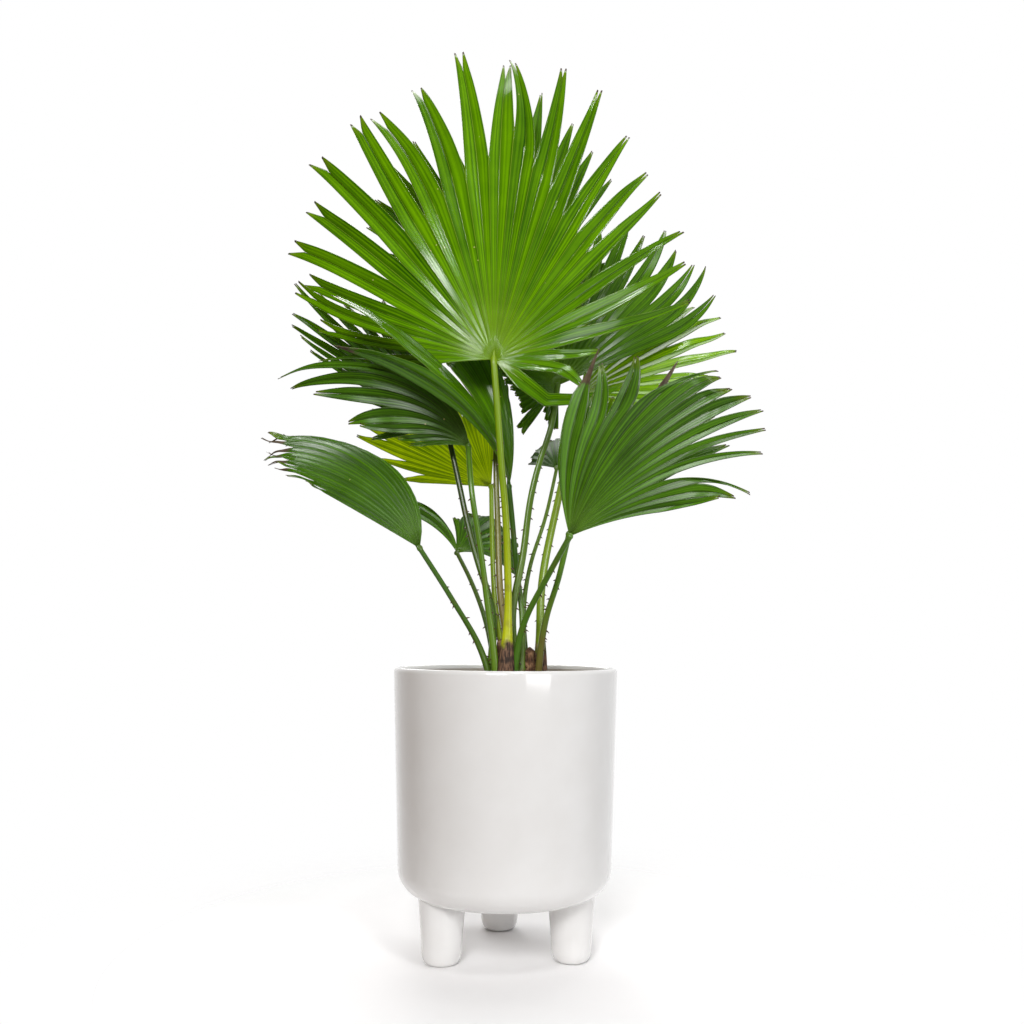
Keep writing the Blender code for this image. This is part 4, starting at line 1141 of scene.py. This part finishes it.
    def surface(self):
        """Points and UVs of every half segment on grids of (segment, half, row, column)."""
        leaf, count = self.leaf, len(self.ribs)
        edges = np.stack([self.edges[:-1], self.edges[1:]], axis=1)[:, :, None, None]
        split = np.stack([self.split_radii[:-1], self.split_radii[1:]], axis=1)[:, :, None, None]
        turn = edges - per_segment(self.ribs)
        uneven = 1 + 0.5 * wobble(count * 2, leaf.phase + 4, 0.03)
        uneven = uneven.reshape(count, 2)[:, :, None, None]
        length = per_segment(self.lengths) * INSET * np.minimum(uneven, 1)
        starts = np.full((count, 1, 1, 1), 9.0)  # far past the tip, so not dried
        for segment, share in leaf.dry:
            starts[segment] = share
        fused = self.fused_rows(split, turn)
        free = self.free_rows(split, turn, length, starts)
        radius, bearing, lift = (np.concatenate([a, b], axis=2) for a, b in zip(fused, free))
        points = self.points(bearing, radius) + self.normals(bearing, radius) * lift[..., None]

        number, half = per_segment(np.arange(count)), np.sign(turn)
        along = radius / length
        tone = 0.5 + 0.5 * np.sin(3.7 * number + 1.9 * number**2 + leaf.phase * 3 + 0.8 * half)
        weave = np.stack(np.broadcast_arrays(2 * number + half * COLUMN, along), axis=-1)
        state = np.stack(np.broadcast_arrays(tone, dryness(along, starts)), axis=-1)
        return points, weave, state


def build_blade(leaf, finishes):
    """Fine blade: half segments welded along ribs and fused edges, then thickened to the sheet."""
    points, weave, state = Fan(leaf).surface()
    faces = grid_faces(points.shape[:4]).reshape(len(leaf.ribs), 2, -1, 4)
    faces[:, 0] = faces[:, 0, :, ::-1]  # the first half of each segment is mirrored
    parts = [(points, faces.reshape(-1, 4), 0, {"weave": weave, "state": state})]
    made = piece(f"fan_{leaf.name}", parts, finishes, [f"blade_{leaf.name}"], 18,
                 weld=1.5e-5, recalc=False)
    thicken = made.modifiers.new("sheet", "SOLIDIFY")
    thicken.thickness = SHEET
    thicken.offset = 0
    thicken.material_offset = 1  # the underside has the second finish
    return made


def stalk_path(leaf, count):
    """Smooth curve from the foot of the stalk through its route to the hastula."""
    centre_x, centre_y = STEMS[leaf.clump][0]
    turn = math.radians(leaf.foot_bearing)
    outward = np.array([math.cos(turn), math.sin(turn), 0])
    foot = np.array([centre_x, centre_y, PETIOLE_FOOT_Z]) + PETIOLE_RING[leaf.clump] * outward
    above_foot = foot + MM * outward + np.array([0, 0, 12 * MM])
    route = np.array([*leaf.route, leaf.hastula]) * MM
    return smooth_path(smooth(smooth_path([foot, above_foot, *route], 27), 3), count)


def stalk_section(turn):
    """Across a stalk: round below, flattened above, with the two margins drawn out a little."""
    above = np.exp(-((np.abs(turn - math.pi / 2)) / 0.75) ** 2)
    margins = np.exp(-((np.minimum(np.abs(turn - 0.1), np.abs(turn - math.pi + 0.1))) / 0.28) ** 2)
    return 0.97 - 0.24 * above + 0.08 * margins


def stalk_body(leaf, fan, path):
    """Tube along the path with the stalk's section, and its UV map.

    It thins upwards, swells at its foot, and runs on under the blade as a tapering keel.
    """
    steps = 9
    keel = fan.points(np.zeros(steps), np.linspace(0.002, 0.016, steps))
    keel = keel - fan.up * np.linspace(0.0010, 0.0004, steps)[:, None]
    travelled = travel(path)
    share = travelled / travelled[-1]
    wrapped, swelling = leaf.sheath
    girth = np.interp(share, (0, 0.5, 1), leaf.girth) * MM
    girth = girth * (1 + swelling * np.exp(-((share / wrapped) ** 3)))
    girth = np.r_[girth, girth[-1] * np.linspace(0.8, 0.12, steps)]
    sides = 20
    rings = tube(np.vstack([path, keel]), girth, sides, fan.up, stalk_section)
    row = np.r_[0, share, np.linspace(1, 1.04, steps), 1.05]
    return rings, np.stack(np.broadcast_arrays(np.linspace(0, 1, sides), row[:, None]), axis=-1)


def hastula_cap(fan):
    """Flat ellipsoid, 6 mm by 5 mm, over the place where the ribs meet, and its UV map."""
    turn, rise = np.meshgrid(np.linspace(0, math.tau, 25), np.linspace(-0.5, 0.5, 9) * math.pi)
    cap = (
        fan.start + fan.up * 0.0003
        + (0.0030 * np.cos(turn) * np.cos(rise))[..., None] * fan.ahead
        + (0.0026 * np.sin(turn) * np.cos(rise))[..., None] * fan.side
        + (0.0008 * np.sin(rise))[..., None] * fan.up
    )
    return cap, np.stack([turn / math.tau, np.full_like(turn, 0.97)], axis=-1)


def thorn_hooks(leaf, fan, path):
    """Tapering tubes of the thorns that stand in two rows up a stalk and hook back to its foot."""
    rng = np.random.default_rng(int(leaf.phase * 10) + 3)
    travelled = travel(path)
    share = travelled / travelled[-1]
    count = max(4, int(travelled[-1] * THORNY_SHARE / THORN_SPACING))
    places = (np.arange(count) + rng.uniform(-0.35, 0.35, count)) / count * THORNY_SHARE + 0.09
    hand = np.where(rng.uniform(size=count) < 0.5, -1.0, 1.0)
    spots, ahead = (np.stack([np.interp(places, share, line[:, k]) for k in range(3)], axis=-1)
                    for line in (path, np.gradient(path, axis=0)))
    ahead = unit(ahead)
    over = unit(fan.up - (ahead @ fan.up)[:, None] * ahead)
    out = unit(np.cross(ahead, over) * hand[:, None] + 0.15 * over)
    girth = np.interp(places, (0, 0.5, 1), leaf.girth) * MM
    size = rng.uniform(0.0016, 0.0032, count) * (1.15 - 0.5 * places)
    reach = np.linspace(0, 1, 6)
    spine = (
        spots[:, None]
        + out[:, None] * (girth[:, None] * 0.86 + size[:, None] * reach)[..., None]
        - ahead[:, None] * (size[:, None] * 0.55 * reach**1.7)[..., None]
    )
    return tube(spine, (0.00075 * (1 - reach) ** 0.8 + 0.00008)[None], 6, fan.up)


def build_stalk(leaf, skin, thorn):
    """Stalk with its keel, its hastula cap and its thorns."""
    fan = Fan(leaf)
    path = stalk_path(leaf, 70)
    body, body_uv = stalk_body(leaf, fan, path)
    cap, cap_uv = hastula_cap(fan)
    hooks = thorn_hooks(leaf, fan, path)
    parts = [shell(body, 0, {"run": body_uv}), shell(cap, 0, {"run": cap_uv}, wrap=False),
             shell(hooks, 1)]
    return piece(f"stalk_{leaf.name}", parts, [skin, thorn], [f"petiole_{leaf.name}"],
                 50)


# ------------------------------------------------------------------ stage, camera and light


def build_floor():
    """Pale matt floor: a flat disc that fades to the white surround within 0.45 m of the middle."""
    disc = turned([(0, 0), (0.5, 0), (1.2, 0), (2.4, 0)], 96)
    mesh = bpy.data.meshes.new("floor")
    mesh.from_pydata(disc.reshape(-1, 3).tolist(), [], grid_faces((4, 96), wrap=True).tolist())
    floor = bpy.data.objects.new("floor", mesh)
    bpy.context.scene.collection.objects.link(floor)
    made, add = start("matt white studio floor")
    place = add("TexCoord", {}, "Object")
    distance = add("VectorMath", {0: place}, "Value", operation="LENGTH")
    seen = add("MapRange", {0: distance, 1: 0.05, 2: 0.45, 3: 1.0, 4: 0.0}, **RAMP)
    skin = add("BsdfPrincipled", {
        "Base Color": "#FBFAFA", "Roughness": 0.9, "Specular IOR Level": 0.1, "Alpha": seen})
    add("OutputMaterial", {"Surface": skin})
    mesh.materials.append(made)


def area_light(name, place, target, width, height, power):
    """White soft box: a rectangle that faces its target."""
    light = bpy.data.lights.new(name, "AREA")
    light.shape = "RECTANGLE"
    light.size = width
    light.size_y = height
    light.energy = power
    lamp = bpy.data.objects.new(name, light)
    bpy.context.scene.collection.objects.link(lamp)
    lamp.location = place
    aim = Vector(target) - Vector(place)
    lamp.rotation_euler = aim.to_track_quat("-Z", "Y").to_euler()


def light_studio():
    """White surround that gives less light from the left, the front and above, and five soft boxes.

    The camera sees plain white all round. The front box lights the leaves and the pot, the two gloss
    boxes give the glints on them, and the last two light the plant from above and behind.
    """
    world = bpy.data.worlds.new("studio")
    bpy.context.scene.world = world
    world.use_nodes = True
    world.node_tree.nodes.clear()
    add = partial(node, world.node_tree)
    direction = add("TexCoord", {}, "Generated")
    aside = add("SeparateXYZ", {0: direction}, "X")
    ahead = add("SeparateXYZ", {0: direction}, "Y")
    right = add("MapRange", {0: aside, 1: -0.9, 2: 0.7}, **RAMP)
    room = add("Mix", {0: right, 6: "#5E4424", 7: "#B9B9BA"}, 2, **COLOURS)
    front = add("MapRange", {0: ahead, 1: -0.85, 2: -0.15, 3: 0.6, 4: 0.0}, **RAMP)
    room = add("Mix", {0: front, 6: room, 7: "#2E2C2A"}, 2, **COLOURS)
    above = add("SeparateXYZ", {0: direction}, "Z")
    ceiling = add("MapRange", {0: above, 1: 0.20, 2: 0.75, 4: 0.75}, **RAMP)
    room = add("Mix", {0: ceiling, 6: room, 7: "#2E2C2A"}, 2, **COLOURS)
    wall = add("MapRange", {0: ahead, 1: 0.20, 2: 0.90}, **RAMP)
    light = add("Mix", {0: wall, 6: room, 7: "#FFFFFF"}, 2, **COLOURS)
    seen = add("LightPath", {}, "Is Camera Ray")
    colour = add("Mix", {0: seen, 6: light, 7: "#FFFFFF"}, 2, **COLOURS)
    background = add("Background", {"Color": colour, "Strength": 1.0})
    add("OutputWorld", {"Surface": background})
    area_light("front", (-0.25, -1.55, 1.05), (0.0, 0.0, 0.45), 0.5, 0.5, 20.5)
    area_light("leaf gloss", (0.27, -0.80, 1.62), (0.0, 0.0, 0.6), 0.22, 0.20, 4.4)
    area_light("pot gloss", (0.62, -1.0, 0.39), (0.03, -0.09, 0.39), 0.50, 0.58, 4.0)
    area_light("overhead", (0.1, 0.45, 1.9), (0.0, 0.0, 0.5), 1.2, 0.9, 12)
    area_light("behind", (-0.3, 1.6, 1.2), (0.0, 0.0, 0.5), 0.8, 0.8, 9)


def place_camera():
    """Just above the level of the pot's rim, looking up by 4 degrees, with the lens shifted up."""
    data = bpy.data.cameras.new("camera")
    data.sensor_width = 36
    data.lens = 33.93
    data.shift_y = 0.0568
    camera = bpy.data.objects.new("camera", data)
    bpy.context.scene.collection.objects.link(camera)
    tilt = Matrix.Rotation(math.radians(90 + 4), 4, "X")
    roll = Matrix.Rotation(0.0052, 4, "Z")
    camera.matrix_world = Matrix.Translation((0.005, -0.829, 0.261)) @ tilt @ roll
    bpy.context.scene.camera = camera
    bpy.context.scene.view_settings.view_transform = "Standard"


# ------------------------------------------------------------------ everything together

place_camera()
light_studio()
build_floor()
# The second glaze, for the inside of the mouth, is darkened to grey-brown as painted shade
build_pot(glazed_earthenware("outside", "#DEDCDA", "#E6E5E4"),
          glazed_earthenware("thin inside the mouth", "#A79E94", "#B8B0A6"))
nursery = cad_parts["nursery_pot"]
nursery.data.materials.clear()
nursery.data.materials.append(moulded_polypropylene())
build_soil(damp_compost())
# Chipped pine bark: torn brown flakes, paler on a fresh face
build_chips(grained("composted pine bark", 1.5, 5.0, "#20140C", "#80583A", 0.85, 1.4, 0.3))
# Old sheath strands: straw-brown hairs with a dull sheen
hair = grained("dried sheath hair", 5.0, 2.0, "#38251A", "#8A6A48", 0.7, 1.45)
# Palm thorns, hard as horn: dark brown with a slight polish
thorn = grained("horny palm thorn", 3.0, 2.0, "#28180C", "#5E3C1E", 0.45, 1.5)
fibre = sheath_fibre()
for clump in STEMS:
    build_stem(clump, fibre, hair)
skins = {
    name: [leaf_skin(name, dark, light, nerve, gloss, thin, False),
           leaf_skin(name, dark, light, nerve, gloss + 0.15, thin, True)]
    for name, (dark, light, nerve, gloss, thin) in LEAF_COLOURS.items()
}
for leaf in LEAVES:
    build_blade(leaf, skins[leaf.finish])
    build_stalk(leaf, stalk_skin(leaf.name, *leaf.stalk, leaf.sheath[0]), thorn)

bpy.context.view_layer.update()
